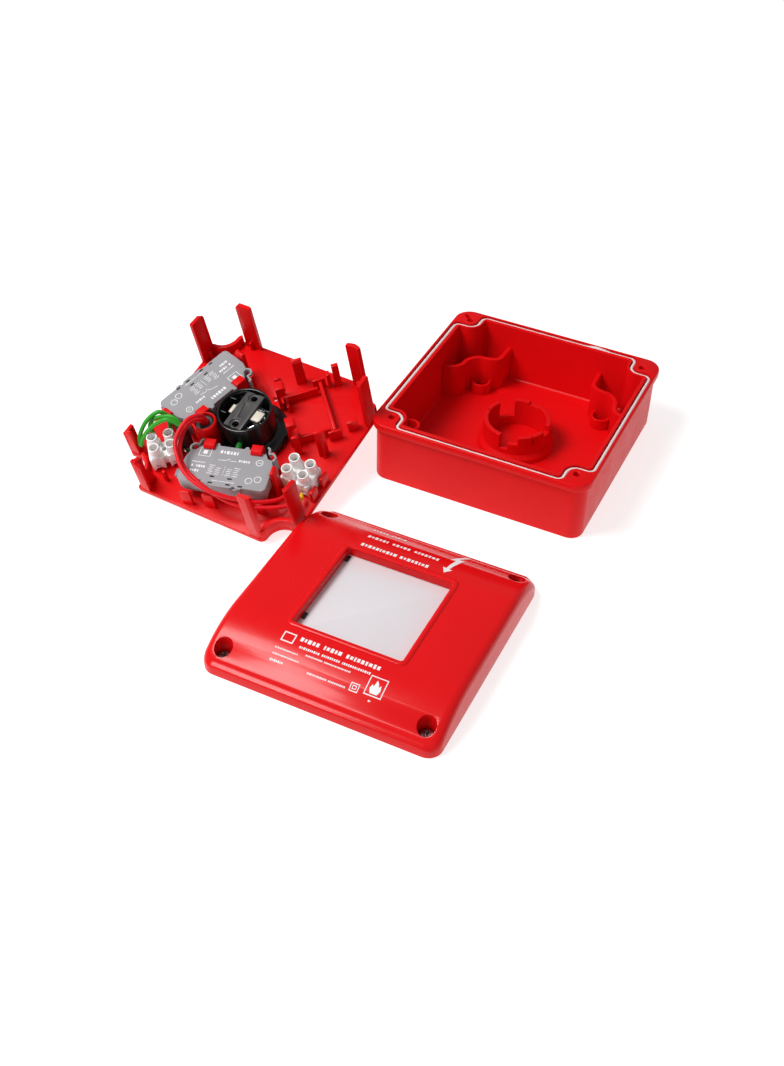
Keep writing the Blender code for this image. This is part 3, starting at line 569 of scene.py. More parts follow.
def cover_half(inset):
    radius, middle = COVER_RADIUS - inset, COVER_HALF - COVER_RADIUS
    turn = [i * pi / 20 for i in range(11)]
    rows = [-46 + 1.1 * i for i in range(1, 21)]
    points = [(middle + radius * cos(a - pi / 2), -middle + radius * sin(a - pi / 2), cos(a - pi / 2))
              for a in turn]
    points += [(COVER_HALF - inset, y, 1.0) for y in rows + [-y for y in reversed(rows)]]
    points += [(middle + radius * cos(a), middle + radius * sin(a), cos(a)) for a in turn]
    return points


def cover_loop(inset, drop, sink=0.0, flat=None):
    half = cover_half(inset)
    right = [(x, y, arch(y) - sink - drop * (0.3 + 0.7 * share) if flat is None else flat)
             for x, y, share in half]
    return right + [(-x, y, z) for x, y, z in reversed(right)]


def cover_solid(first, nose, sink, bottom, steps):
    """A closed body under the arched surface, with a rounded shoulder."""
    loops = [cover_loop(first + 0.3, 0, flat=bottom), cover_loop(first, 0, flat=bottom + 0.3)]
    for i in range(steps + 1):
        a = i * pi / 2 / steps
        loops.append(cover_loop(first + nose * (1 - cos(a)), nose * (1 - sin(a)), sink))
    bm = skin(loops, closed=False)
    bm.verts.ensure_lookup_table()
    count = len(loops[0])
    for start in (0, count * (len(loops) - 1)):
        for i in range(count // 2 - 1):
            bm.faces.new([bm.verts[start + k] for k in (i, i + 1, count - 2 - i, count - 1 - i)])
    bmesh.ops.recalc_face_normals(bm, faces=bm.faces)
    return bm


def in_corners(radius, low, high, steps=40):
    return [prism(circle(radius, (sx * SCREW_AT, sy * SCREW_AT), steps), low, high) for sx, sy in CORNERS]


def cover_part():
    inner = carve(cover_solid(SHELL, 1.5, SHELL, -2.0, 3), in_corners(POST_R, -4, 30))
    shell = carve(cover_solid(0, NOSE, 0, 0, 8), [inner])
    shell = carve(shell, in_corners(WELL_R, 2.0, 30) + [prism(rounded(WINDOW + 1.2, 1.5), 5.0, 30.0)])
    shell = carve(shell, in_corners(SCREW_HOLE, -3, 6, 24))

    def well_rim(edge):
        at = [hypot(abs(v.co.x) - SCREW_AT, abs(v.co.y) - SCREW_AT) for v in edge.verts]
        return all(abs(r - WELL_R) < 0.02 for r in at) and min(v.co.z for v in edge.verts) > 3.0

    round_edges(shell, 0.35, 2, 40.0, well_rim)
    rows = ((27.55, 12.4), (27.8, 15.3), (27.55, 15.75), (27.1, 16.05), (26.5, 16.2), (25.9, 16.15),
            (25.3, 15.9), (WINDOW + 0.05, 15.5), (WINDOW, 15.0), (WINDOW, 11.6), (WINDOW + 0.2, 11.45))
    bead = skin([at_height(rounded(half, half - WINDOW + 1.0, 8), z) for half, z in rows])
    return [shell, bead]


def on_arch(bm):
    """Bends flat work onto the cover's curved top, keeping its place in plan."""
    low, high = min(v.co.y for v in bm.verts), max(v.co.y for v in bm.verts)
    at = low + 1.0
    while at < high:
        bmesh.ops.bisect_plane(bm, geom=[*bm.verts, *bm.edges, *bm.faces], plane_co=(0, at, 0),
                               plane_no=(0, 1, 0))
        at += 1.0
    for v in bm.verts:
        v.co.z += arch(v.co.y)
    return bm


def ink(outline):
    """A thin printed shape that sits on a flat face at height zero."""
    return prism(outline, INK_DEEP, INK_THICK)


def bar(x0, x1, y, height):
    return ink(rect(x0, x1, y - height / 2, y + height / 2))


def frame_line(x0, x1, y0, y1, width):
    a, b, c, d = x0 + width, x1 - width, y0 + width, y1 - width
    sides = ((x0, x1, y0, c), (x0, x1, d, y1), (x0, a, c, d), (b, x1, c, d))
    return [ink(rect(*side)) for side in sides]


def words(x0, x1, y, height, gaps=()):
    """A row of small plain blocks in the place of a line of print, with word gaps at shares of its length."""
    parts = []
    x, k = x0, 0
    while x < x1 - 0.2:
        share = (x - x0) / (x1 - x0)
        if any(abs(share - g) * (x1 - x0) < height * 0.3 for g in gaps):
            x += height * 0.55
            continue
        wide = height * (0.44, 0.3, 0.5, 0.36, 0.42, 0.24, 0.4)[k % 7]
        parts.append(bar(x, x + wide, y, height * (0.62, 0.5, 0.66, 0.56, 0.6)[k % 5]))
        x += wide + height * 0.2
        k += 1
    return parts


def cover_print():
    """White marks: a flash arrow, unreadable lines where the maker's words are, and two plain symbols."""
    flash = [(20.9, 51.5), (16.4, 41.6), (18.9, 42.0), (17.9, 33.4), (16.4, 33.6), (18.3, 29.8),
             (20.9, 33.0), (19.4, 33.2), (22.0, 44.6), (19.5, 44.2), (22.6, 51.5)]
    flame = [(19.2, -42.6), (18.4, -40.8), (19.0, -39.0), (19.7, -39.8), (20.3, -37.0), (21.4, -38.2),
             (21.9, -39.6), (22.6, -38.6), (23.2, -40.6), (22.4, -42.6)]
    rows = ((-23.1, -7.0, 45.4, 2.6, (0.5,)), (-21.8, 13.0, 37.6, 3.0, (0.3, 0.62)), (-21.4, -4.4, 30.0, 3.0),
            (-2.6, 10.4, 30.0, 3.0), (-17.4, 18.8, -31.9, 3.0, (0.26, 0.55)),
            (-16.2, 15.6, -35.4, 1.6, (0.3, 0.6)), (-12.0, 8.0, -37.8, 1.1, (0.4,)),
            (-8.1, 9.2, -44.0, 1.1, (0.5,)), (-25.6, -15.4, -38.8, 1.0), (-25.4, -13.6, -41.4, 1.0),
            (-25.2, -19.0, -44.0, 1.5), (20.0, 21.4, -45.4, 1.1))
    frames = ((10.7, 14.5, -44.4, -41.0, 0.35), (11.7, 13.5, -43.5, -41.9, 0.3),
              (16.9, 24.6, -43.6, -35.6, 0.4), (-25.2, -19.6, -35.4, -30.8, 0.5))
    parts = [ink(flash)] + [part for row in rows for part in words(*row)]
    parts += [part for row in frames for part in frame_line(*row)] + [ink(flame)]
    return [on_arch(part) for part in parts]


def pane_part():
    return prism(rounded(PANE_HALF, 1.5, 6), PANE_LOW, PANE_TOP, 0.2)


def clip_part(y):
    profile = [(-29.6, 12.4), (-28.2, 12.4), (-28.2, 8.9), (-24.0, 8.9), (-24.0, 7.7), (-29.6, 7.7)]
    grip = PANE_TOP + 0.05
    hook = [(-25.9, grip), (-23.4, grip), (-23.4, 11.7), (-25.0, 11.9), (-25.9, 11.9)]
    return [side_prism(profile, y - 2.5, y + 2.5, 0.15), side_prism(hook, y + 1.0, y + 4.6, 0.12)]


def cover_screw():
    """A captive pan-head screw with a cross recess."""
    outline = [(0, 0.4), (1.1, 0.4), (1.5, 1.0), (1.5, 2.4), (3.4, 2.4), (3.4, 3.7), (3.1, 4.3), (2.4, 4.7),
               (1.4, 4.8), (0, 4.8)]
    head = lathe(soften(outline, 0.3, 2), steps=48)
    cross = quarters([(0.45, -0.45), (1.8, -0.45), (1.8, 0.45)])
    cut = carve(head, [prism(cross, 3.5, 6.4)])
    return round_edges(cut, 0.08, 1, 50.0, keep=lambda e: all(hypot(*v.co.xy) < 2.0 for v in e.verts))


piece("cover_shell", cover_part(), AT_COVER, RED_GLOSS, "cover", ("front_cover",), 32)
piece("cover_marks", cover_print(), AT_COVER, INK, "cover")
piece("window_pane", pane_part(), AT_COVER, PANE, "cover", ("window_glass",))
for i, y in enumerate((-19.5, 19.5), 1):
    piece(f"pane_clip_{i}", clip_part(y), AT_COVER, BLACK_MATTE, "cover", (f"glass_clip_{i}",))
for i, (sx, sy) in enumerate(CORNERS):
    place = Matrix.Translation((sx * SCREW_AT, sy * SCREW_AT, 0)) @ Matrix.Rotation(0.4 + i, 4, "Z")
    piece(f"lid_screw_{i + 1}", cover_screw(), AT_COVER @ place, WELL_SHADE_STEEL, f"screw_{i + 1}",
          (f"cover_screw_{i + 1}",))


# ---------------------------------------------------------------- inner panel


LEG_WALL = 2.0
# Each leg: quarter turns from the front edge, its path in plan there, and its top line as (along, height).
LEGS = (
    (0, ((30.5, -48.1), (32.0, -48.1), (33.6, -48.1), (35.0, -48.1), (36.0, -47.6), (36.4, -46.5)),
     ((30.5, 32.9), (32.0, 33.8), (33.6, 33.2), (35.0, 33.8), (37.4, 33.1))),
    (1, ((-29.5, -48.1), (-30.4, -48.1), (-35.6, -48.1), (-36.6, -47.7), (-37.2, -47.0)),
     ((-37.8, 31.6), (-35.8, 32.2), (-30.4, 31.6), (-29.5, 30.8))),
    (1, ((27.0, -48.1), (28.0, -48.1), (33.4, -48.1), (34.5, -48.1)),
     ((27.0, 32.2), (28.0, 33.2), (33.4, 33.1), (34.5, 32.0))),
    (2, ((-28.8, -48.1), (-30.6, -48.1), (-33.4, -48.1), (-35.2, -48.1), (-36.4, -47.5)),
     ((-36.9, 31.2), (-33.6, 32.6), (-30.6, 31.8), (-28.8, 31.0))),
    (2, ((25.5, -48.1), (26.4, -48.1), (32.6, -48.1), (34.5, -48.1)),
     ((25.5, 31.6), (26.4, 32.4), (32.6, 32.4), (34.6, 29.6))),
    (3, ((-28.4, -48.1), (-29.2, -48.1), (-35.4, -48.1), (-36.6, -47.6), (-37.2, -47.0)),
     ((-37.9, 26.8), (-36.3, 29.6), (-29.2, 30.4), (-28.4, 29.8))),
)


def height_at(line, x):
    """The height of a broken line at a place along it."""
    line = sorted(line)
    for (x0, z0), (x1, z1) in zip(line, line[1:]):
        if x <= x1:
            return z0 + (z1 - z0) * max(x - x0, 0) / (x1 - x0)
    return line[-1][1]


def leg(turns, path, line):
    """A flat leg that follows the plate's edge, with its own broken top line."""
    top = max(z for _, z in line)
    bm = prism(strip(path, LEG_WALL), 1.2, top)
    for v in bm.verts:
        if v.co.z > top - 0.1:
            v.co.z = height_at(line, v.co.x)
    round_edges(bm, 0.32, 2, 28.0)
    low, high = min(p[0] for p in path), max(p[0] for p in path)
    mid = (low + high) / 2
    rib = [(mid - 0.5, 1.4), (mid + 0.5, 1.4), (mid + 0.4, 7.5), (mid - 0.4, 7.5)]
    return [spin(part, turns * 90.0) for part in (bm, side_prism(rib, -47.4, -45.2, 0.15))]


def front_left_legs():
    """The two lower legs beside the front left notch, each with a wall that runs back from it."""
    front = [(-31.2, 1.3), (-31.3, 23.6), (-30.9, 24.2), (-30.2, 24.0), (-26.5, 21.2), (-26.2, 20.5),
             (-26.6, 1.3)]
    back = [(-49.0, 1.25), (-49.0, 23.3), (-48.2, 23.7), (-44.6, 22.2), (-43.8, 21.4), (-44.4, 14.0),
            (-43.0, 11.5), (-41.2, 6.0), (-40.2, 1.25)]
    left = [(-49.0, 1.3), (-49.0, 16.4), (-48.2, 17.3), (-44.8, 19.0), (-44.2, 18.5), (-43.6, 1.3)]
    return [side_prism(front, -49.1, -47.2, 0.3), spin(side_prism(back, 28.7, 31.0, 0.3), 90),
            side_prism(left, -33.4, -31.6, 0.3), block(-49.1, -47.2, -33.5, -27.2, 1.2, 17.2, 0.3)]


def notch_walls():
    """The low rounded wall along the plate's edge at each corner notch."""
    path = screw_corner(PLATE_HALF - 1.05, 2.25, NOTCH_R + 1.05, 8)[3:-3]
    wide = screw_corner(PLATE_HALF - 1.1, WIDE_FILLET, WIDE_R + 1.1, 8)[13:-13]
    walls = [spin(prism(strip(path, 2.0), 1.7, 7.6, 0.55), turn) for turn in (0, 90, 270)]
    return walls + [spin(prism(strip(wide, 1.7), 1.7, 7.0, 0.45), 180)]


# Single ribs and tabs near each contact place: n0, n1, s0, s1, low, high, measured outward and across.
PLACE_TABS = (
    ((37.4, 39.0, -12.0, 12.0, 1.6, 7.2), (41.8, 43.4, 16.6, 20.2, 1.5, 9.2),
     (42.6, 44.2, -8.8, -3.6, 1.45, 12.4), (42.6, 44.2, -20.0, -15.0, 1.55, 12.4)),
    ((37.4, 39.0, -12.0, 12.0, 1.6, 7.2), (41.8, 43.4, 16.6, 20.2, 1.5, 9.2)),
    ((37.4, 39.0, -15.5, 15.5, 1.6, 8.6), (45.2, 48.6, 14.6, 16.8, 1.5, 17.0),
     (42.0, 43.8, 14.8, 18.0, 1.45, 12.0), (44.4, 49.4, -15.0, -12.0, 1.55, 9.0),
     (34.6, 41.0, 16.2, 17.4, 1.5, 9.0), (34.6, 41.0, -17.4, -16.2, 1.5, 9.0)),
)


def place_side(number, side):
    """Half of what holds a contact block: two ribs, a snap post, a tab, an outer hook and its gusset."""
    def wide(s0, s1):
        return sorted((side * s0, side * s1))

    post = [(16.4, 1.3), (17.9, 1.3), (17.9, 14.4), (21.3, 16.4), (21.3, 17.5), (20.2, 18.5), (16.6, 18.5),
            (16.4, 18.3)]
    tab = [(17.2, 1.3), (20.8, 1.3), (20.8, 14.4), (19.7, 15.5), (17.2, 15.5)]
    parts = [block(19.0, 36.5, *wide(12.4, 14.0), 1.4, 7.5, 0.25),
             block(19.6, 21.0, *wide(6.5, 13.0), 1.5, 7.3, 0.25),
             side_prism(post, *wide(9.0, 14.4), 0.25), side_prism(tab, *wide(18.2, 19.7), 0.25)]
    if (number, side) != (0, -1):
        lip = [(21.7, 18.3), (24.4, 18.3), (24.3, 19.4), (23.4, 19.9), (22.6, 19.8)]
        lip = side_prism([(side * s, w) for s, w in lip], -32.6, -27.6, 0.2)
        parts += [block(27.6, 32.6, *wide(22.4, 24.4), 1.25, 18.9, 0.35), spin(lip, 90)]
    if (number, side) not in ((0, 1), (0, -1), (1, 1)):
        gusset = [(24.0, 1.5), (26.4, 1.5), (26.3, 4.0), (24.2, 14.0)]
        parts.append(spin(side_prism([(side * s, w) for s, w in gusset], -30.8, -29.4, 0.2), 90))
    return parts


def place_parts(number):
    parts = place_side(number, 1) + place_side(number, -1)
    parts += [block(*tab, 0.25) for tab in PLACE_TABS[number]]
    return [spin(part, STATIONS[number]) for part in parts]


def plate_part():
    holes = [prism(circle(13.5, steps=72), -2, 6), prism(circle(2.7, BOSS_1), -2, 9),
             prism(circle(2.7, BOSS_2), -2, 7), prism(circle(1.2, (-1.8, 23.4)), -2, 6)]
    outline = quarters(screw_corner(PLATE_HALF, NOTCH_FILLET, NOTCH_R, 8),
                       screw_corner(PLATE_HALF, WIDE_FILLET, WIDE_R, 8))
    plate = carve(prism(outline, 0, PLATE), holes)
    return round_edges(plate, 0.3, 2, 50.0)


def carrier_parts():
    parts = [plate_part()]
    for row in LEGS:
        parts += leg(*row)
    parts += front_left_legs() + notch_walls()
    for number in range(len(STATIONS)):
        parts += place_parts(number)
    socket = [(2.75, 1.3), (5.8, 1.3), (5.8, 21.3), (5.1, 22.0), (4.75, 22.0), (4.7, 8.0), (2.75, 8.0)]
    parts.append(lathe(soften(socket, 0.3, 2), BOSS_1, 56))
    stops = ((46.6, 48.2, -12.6, -7.6, 1.5, 9.5), (46.6, 48.2, -21.6, -16.6, 1.5, 9.5),
             (-24.0, -22.2, -40.6, -38.9, 1.5, 9.4))
    return parts + [block(*stop, 0.3) for stop in stops]


def grommet(at, low, high, r):
    outline = [(2.05, low), (r, low), (r, high - 0.7), (r - 0.25, high - 0.2), (r - 0.8, high),
               (2.5, high - 0.1), (2.05, high - 0.5)]
    return lathe(outline, at, 40)


def lens(at):
    dome = [(0, -1.6), (1.3, -1.35), (2.0, -0.6), (2.2, 0), (2.2, 5.5), (0, 5.5)]
    return lathe(soften(dome, 0.4), at, 32)


LAMPS = ((BOSS_1, 16.5, 21.0, 4.4, LAMP_RED, "lamp_red"), (BOSS_2, 5.9, 20.0, 2.8, LAMP_GREEN, "lamp_green"))

on_panel("carrier", carrier_parts(), RED_DEEP, ("inner_panel",))
for i, (at, low, high, r, material, slot) in enumerate(LAMPS, 1):
    on_panel(f"lamp_grommet_{i}", grommet(at, low, high, r), RUBBER, (f"grommet_{i}",))
    on_panel(f"lamp_lens_{i}", lens(at), material, (f"lamp_{i}",))


# ---------------------------------------------------------------- push button


def housing_parts():
    outline = [(11.2, -0.6), (SLEEVE_OUT, -0.6), (SLEEVE_OUT, 2.9), (18.2, 2.9), (18.2, 6.0), (17.3, 6.6),
               (14.2, 6.9), (SLEEVE_OUT, 7.4), (SLEEVE_OUT, SLEEVE_TOP), (SLEEVE_IN, SLEEVE_TOP),
               (SLEEVE_IN, 0.8), (11.2, 0.8)]
    sleeve = lathe(soften(outline, 0.3, 2), steps=96)
    cuts = [spin(block(10.5, 15.0, -1.9, 1.9, 10.2, 14.0), theta) for theta in STATIONS[:2]]
    cuts.append(prism(circle(6.2, BOSS_1, 40), 1.0, 9.0))
    ribs = [block(x0, x1, y - 0.35, y + 0.35, 19.4, 21.0, 0.12)
            for x0, x1 in ((7.5, 12.5), (-12.5, -7.5)) for y in (4.4, -4.4)]
    return [carve(sleeve, cuts)] + ribs


def bridge_part():
    """The clamping bar, dished along its middle, with a round hole at each end."""
    bm = prism([(-5.0, -10.6), (4.5, -10.8), (4.5, 10.8), (-5.0, 10.6)], 18.95, 21.2)
    cups = [shift(lathe([(0, 0), (2.6, 0), (3.1, 2.0), (0, 2.0)], steps=40), 0, y, 20.5) for y in (8.2, -8.2)]
    dish = shift(spin(prism(rounded(1.7, 0.8, 4, half_y=4.4), -0.4, 2.0), 12), 0, 0, 21.2)
    bm = carve(bm, [prism(circle(1.7, (0, y), 36), 15, 25) for y in (8.2, -8.2)] + cups + [dish])
    return round_edges(bm, 0.22, 2, 40.0)


def spring_points():
    """A coil whose first and last half turns lie flat."""
    low, high, steps = -7.6, 18.0, 36
    points = []
    for i in range(int(SPRING_TURNS * steps) + 1):
        a = 2 * pi * i / steps
        rise = min(max((i / steps - 0.5) / (SPRING_TURNS - 1), 0), 1)
        points.append((SPRING_R * cos(a), SPRING_R * sin(a), low + (high - low) * rise))
    return points


def tube(points, radius):
    """A round cord through the points, as a closed mesh."""
    curve = bpy.data.curves.new("cord", "CURVE")
    curve.dimensions = "3D"
    curve.bevel_depth, curve.bevel_resolution, curve.use_fill_caps = radius, 4, True
    spline = curve.splines.new("POLY")
    spline.points.add(len(points) - 1)
    for point, at in zip(spline.points, points):
        point.co = (*at, 1)
    obj = bpy.data.objects.new("cord", curve)
    bpy.context.scene.collection.objects.link(obj)
    graph = bpy.context.evaluated_depsgraph_get()
    bm = bmesh.new()
    mesh = bpy.data.meshes.new_from_object(obj.evaluated_get(graph))
    bm.from_mesh(mesh)
    bpy.data.meshes.remove(mesh)
    bpy.data.objects.remove(obj)
    bpy.data.curves.remove(curve)
    bmesh.ops.remove_doubles(bm, verts=bm.verts, dist=1e-4)
    return bm


BEZEL = soften([(14.6, -4.0), (16.0, -4.0), (16.6, -3.4), (16.6, -0.3), (14.6, -0.3)], 0.3)
CAP = soften([(0, -9.9), (6.0, -10.05), (12.6, -10.35), (13.6, -10.1), (14.0, -9.4), (14.0, -6.8),
              (12.2, -6.8), (12.2, -8.6), (0, -8.6)], 0.35)
STEM = soften([(9.0, -8.3), (10.9, -8.3), (10.9, 1.1), (11.7, 1.1), (11.7, 6.4), (10.2, 12.4), (10.2, 12.6),
               (9.0, 12.6)], 0.2)

LATCH = [(5.0, -2.9), (9.0, -2.9), (9.6, -2.0), (9.6, 2.9), (5.0, 2.9)]

on_panel("button_sleeve", housing_parts(), BLACK, ("button_housing",))
on_panel("button_rim", lathe(BEZEL, steps=96), BLACK, ("button_bezel",))
on_panel("button_bar", bridge_part(), SMOKY, ("button_bridge",))
on_panel("bar_latch_left", block(-7.2, -5.4, -3.2, 1.5, 19.2, 20.8, 0.25), IVORY, ("bridge_latch_left",))
on_panel("bar_latch_right", prism(LATCH, 19.2, 20.6, 0.25), IVORY, ("bridge_latch_right",))
on_panel("button_cap", lathe(CAP, steps=96), BLACK, ("push_button_cap",), "button")
on_panel("button_shaft", lathe(STEM, steps=72), BLACK_MATTE, ("button_stem",), "button")
on_panel("return_spring", tube(spring_points(), SPRING_WIRE), SPRING, ("button_spring",))


# ---------------------------------------------------------------- contact blocks


def block_outline(inset=0.0):
    d = inset
    return [(18.3 + d, -13.5), (18.3 + d, -9.2), (16.9 + d, -9.0), (16.9 + d, -7.4), (18.3 + d, -7.2),
            (18.3 + d, 5.2), (16.9 + d, 5.4), (16.9 + d, 7.2), (18.3 + d, 7.4), (18.3 + d, 13.5),
            (22.0 + d, 17.6 - d), (22.6 + d, 20.0 - d), (27.0, 21.6 - d), (38.8, 21.6 - d),
            (40.2 - d, 20.2 - d), (40.2 - d, 10.4), (41.0 - d, 10.0), (41.0 - d, -5.0),
            (40.2 - d, -5.4), (40.2 - d, -20.2 + d), (38.8, -21.6 + d), (27.0, -21.6 + d),
            (22.6 + d, -20.0 + d), (22.0 + d, -17.6 + d)]


SLOTS = ((35.9, -5.2), (36.0, 3.5), (39.0, -10.9), (39.4, -5.1), (39.3, 3.6), (39.3, 9.6))
DIMPLES = ((41.0, -8.4), (41.2, 6.6))


def in_slots(half_n, half_s, low, high):
    return [block(n - half_n, n + half_n, s - half_s, s + half_s, CASE_TOP + low, CASE_TOP + high)
            for n, s in SLOTS]


def case_parts(theta):
    cuts = [block(15.0, 24.0, -1.9, 1.9, 9.0, 14.0)] + in_slots(0.45, 1.1, -0.9, 1)
    cuts += [prism(circle(1.3, at, 24), CASE_TOP - 1.4, CASE_TOP + 1) for at in DIMPLES]
    outline = soften(block_outline(), 0.5, 2, turned=False)
    parts = [carve(prism(outline, CASE_LOW, CASE_TOP, 0.28), cuts)]
    curl = [(22.8, 20.0), (21.2, 20.9), (19.6, 20.4), (18.6, 18.9), (18.9, 17.5), (17.6, 17.1), (16.2, 16.9),
            (15.5, 15.7)]
    lug = [(22.6, 17.6), (20.6, 16.4), (19.4, 15.4)]
    for side in (1, -1):
        path = through([(n, side * s) for n, s in curl], 4)
        parts.append(prism(strip(path, 0.85), 8.4, 16.2, 0.15))
        parts.append(prism(strip([(n, side * s) for n, s in lug], 0.8), 12.4, 16.2, 0.15))
    return [spin(part, theta) for part in parts]


SWITCHES = (([(-5.4, -26.4), (-2.4, -26.2)], [(-2.6, -26.4), (0.4, -25.2)], [(0.6, -26.2), (3.6, -26.0)]),
            ([(5.4, -27.8), (2.4, -27.0)], [(2.4, -27.0), (0.8, -27.9), (0.4, -26.6)],
             [(0.4, -26.6), (-3.8, -25.4)]))


def case_print(theta, number):
    """White marks on a contact block, drawn with its text upright: blocks for print, a symbol and a table."""
    rows = [(-5.6, 3.2, -21.7, 2.7), (4.6, 9.8, -25.5, 1.9), (-17.4, -10.6, -29.0, 0.9),
            (-17.0, -10.2, -31.2, 2.0, (0.25,)), (-17.0, -12.6, -33.9, 2.0), (-4.6, 6.4, -38.0, 0.7, (0.3,))]
    for row in range(5):
        for s0, s1 in ((-8.4, -5.6), (-4.9, -2.2), (0.6, 3.3), (4.0, 6.8)):
            if row or s0 in (-8.4, 4.0):
                rows.append((s0 + 0.3 * (row % 2), s1 - 0.2 * (row % 3), -29.8 - 1.15 * row, 0.75))
    parts = [part for row in rows for part in words(*row)] + frame_line(-15.6, -9.8, -25.4, -20.6, 0.28)
    parts += [ink(strip(line, 0.28)) for line in SWITCHES[number]]
    parts += [bar(-13.7, -11.7, -23.0, 2.0), bar(-0.7, -0.55, -32.2, 5.4), bar(13.7, 15.5, -25.0, 0.3)]
    for at in ((14.6, -25.0), (12.6, -35.6), (16.6, -34.2)):
        parts += [ink(sector(1.45, 1.75, start, start + 180, at, 12)) for start in (0, 180)]
    return [spin(shift(part, 0, 0, CASE_TOP), theta + 90) for part in parts]


def carrier_block(theta, foot):
    parts = [prism(soften(block_outline(0.8), 0.4, 2, turned=False), 7.8, 10.1, 0.2)]
    if foot:
        parts.append(block(30.0, 34.0, -26.4, -20.0, 7.9, 10.0, 0.3))
    return [spin(part, theta) for part in parts]


def plunger_part(theta):
    pin = lathe(soften([(0, 0), (1.5, 0), (1.5, 10.0), (0, 10.0)], 0.3), steps=32)
    return spin(shift(spin(pin, 90, "Y"), 11.0, 0, 12.1), theta)


CONTACTS = (("no", GREEN, "green_plastic"), ("nc", RED, "red_plunger"))

for number, (name, colour, slot) in enumerate(CONTACTS):
    theta = STATIONS[number]
    # Matt black fills sunk into the slots: painted shade standing in for the dark depth of the openings.
    slot_shade_fills = [spin(part, theta) for part in in_slots(0.44, 1.09, -0.9, -0.35)]
    on_panel(f"{name}_case", case_parts(theta), GREY, (f"contact_{name}_case",))
    on_panel(f"{name}_marks", case_print(theta, number), INK)
    on_panel(f"{name}_slot_shade", slot_shade_fills, BLACK_PRINT_AND_SLOT_SHADE)
    on_panel(f"{name}_base", carrier_block(theta, number == 0), GREY_DARK, (f"contact_{name}_carrier",))
    on_panel(f"{name}_plunger", plunger_part(theta), colour, (f"plunger_{name}",), f"{name}_plunger")

sticker = spin(prism(rounded(1.5, 0.3, 3, (31.4, 21.66), 0.09), 11.0, 15.6), STATIONS[0])
on_panel("end_sticker", sticker, STICKER)
marks = [spin(block(30.6, 32.2, 21.7, 21.78, low, low + 0.5), STATIONS[0]) for low in (12.0, 13.0, 14.0)]
on_panel("end_sticker_marks", marks, BLACK_PRINT_AND_SLOT_SHADE)


# ---------------------------------------------------------------- terminals, wires and ferrules


RIGHT_TOWERS = ((33.6, -10.8), (42.3, -10.8), (33.6, -17.5), (42.3, -17.5))
LEFT_TOWERS = ((-35.3, -29.2), (-29.4, -23.7), (-30.8, -34.0), (-24.9, -28.5))


def terminal_parts(towers, turn):
    """A four-pole block: two barrels joined by a web, with an open tower over each screw."""
    low, top = BLOCK_LOW, BLOCK_TOP
    cx, cy = (sum(at[k] for at in towers) / 4 for k in (0, 1))
    shoulder = [(0, top - 1.0), (3.15, top - 1.0), (3.05, top + 0.6), (2.45, top + 1.6), (0, top + 1.6)]
    parts = []
    for x in (4.25, -4.25):
        barrel = prism(rounded(3.3, 0.9, 4, (x, 0), 6.3), low + 1.7, top, 0.3)
        wells = [prism(circle(TOWER_IN, (x, y), 32), low + 3.0, 20) for y in (3.5, -3.5)]
        port = spin(prism(circle(1.35, steps=24), -8, 8), 90, "X")
        parts.append(carve(barrel, wells + [shift(port, x, 0, low + 3.6)]))
        skirt = [(x - 3.1, low + 2.2), (x + 3.1, low + 2.2), (x + 3.1, low), (x + 2.2, low + 0.2),
                 (x + 0.9, low + 1.5), (x - 0.9, low + 1.5), (x - 2.2, low + 0.2), (x - 3.1, low)]
        parts.append(side_prism(skirt, -5.9, 5.9, 0.12))
        parts += [carve(lathe(soften(shoulder, 0.3, 2), at, 24), [prism(circle(TOWER_IN, at, 32), 0, 30)])
                  for at in ((x, 3.5), (x, -3.5))]
    web = prism(rounded(2.0, 0.3, 2, half_y=4.4), low + 1.5, 9.8, 0.2)
    parts.append(carve(web, [prism(circle(1.15, steps=28), 0, 20)]))
    parts = [shift(spin(part, turn), cx, cy) for part in parts]
    tower = soften([(TOWER_IN, 6.0), (2.75, 6.0), (2.62, TOWER_TOP), (2.0, TOWER_TOP)], 0.25, 2)
    return parts + [lathe(tower, at, 40) for at in towers]


def terminal_screw(at, turn):
    outline = [(0, 6.2), (1.6, 6.2), (1.6, 12.4), (1.4, 12.6), (0, 12.6)]
    slot = shift(spin(block(-3, 3, -0.3, 0.3, 11.8, 15), turn), *at)
    return carve(lathe(outline, at, 32), [slot])


for side, towers, turn in (("right", RIGHT_TOWERS, 0), ("left", LEFT_TOWERS, 43)):
    on_panel(f"{side}_terminal", terminal_parts(towers, turn), WHITE, (f"terminal_block_{side}",))
    for i, at in enumerate(towers):
        on_panel(f"{side}_clamp_{i + 1}", terminal_screw(at, 25 + 50 * i), STEEL,
                 (f"terminal_screw_{side}_{i + 1}",))

REDS = ([(-13.18, -12.98, 18.5), (-13.2, -13.0, 22.5), (-13.9, -15.4, 28.0), (-16.0, -20.9, 30.0),
         (-16.9, -27.3, 28.5), (-15.8, -32.8, 26.5), (-11.7, -37.7, 24.5), (-6.3, -41.9, 22.5),
         (1.3, -44.6, 21.0), (10.3, -44.8, 19.0), (19.4, -42.2, 16.0), (28.3, -38.0, 12.8),
         (35.4, -31.6, 10.2), (37.2, -25.6, 8.1)],
        [(-14.42, -14.22, 18.5), (-14.42, -14.25, 21.5), (-15.1, -16.9, 25.5), (-16.6, -21.6, 26.5),
         (-16.2, -27.4, 25.0), (-13.5, -33.9, 23.0), (-7.8, -39.3, 20.5), (0.7, -42.3, 18.6),
         (9.5, -43.6, 16.2), (18.6, -43.0, 13.0), (27.0, -40.2, 10.9), (36.4, -35.0, 9.5),
         (42.6, -29.6, 8.6), (44.35, -26.0, 8.2)])
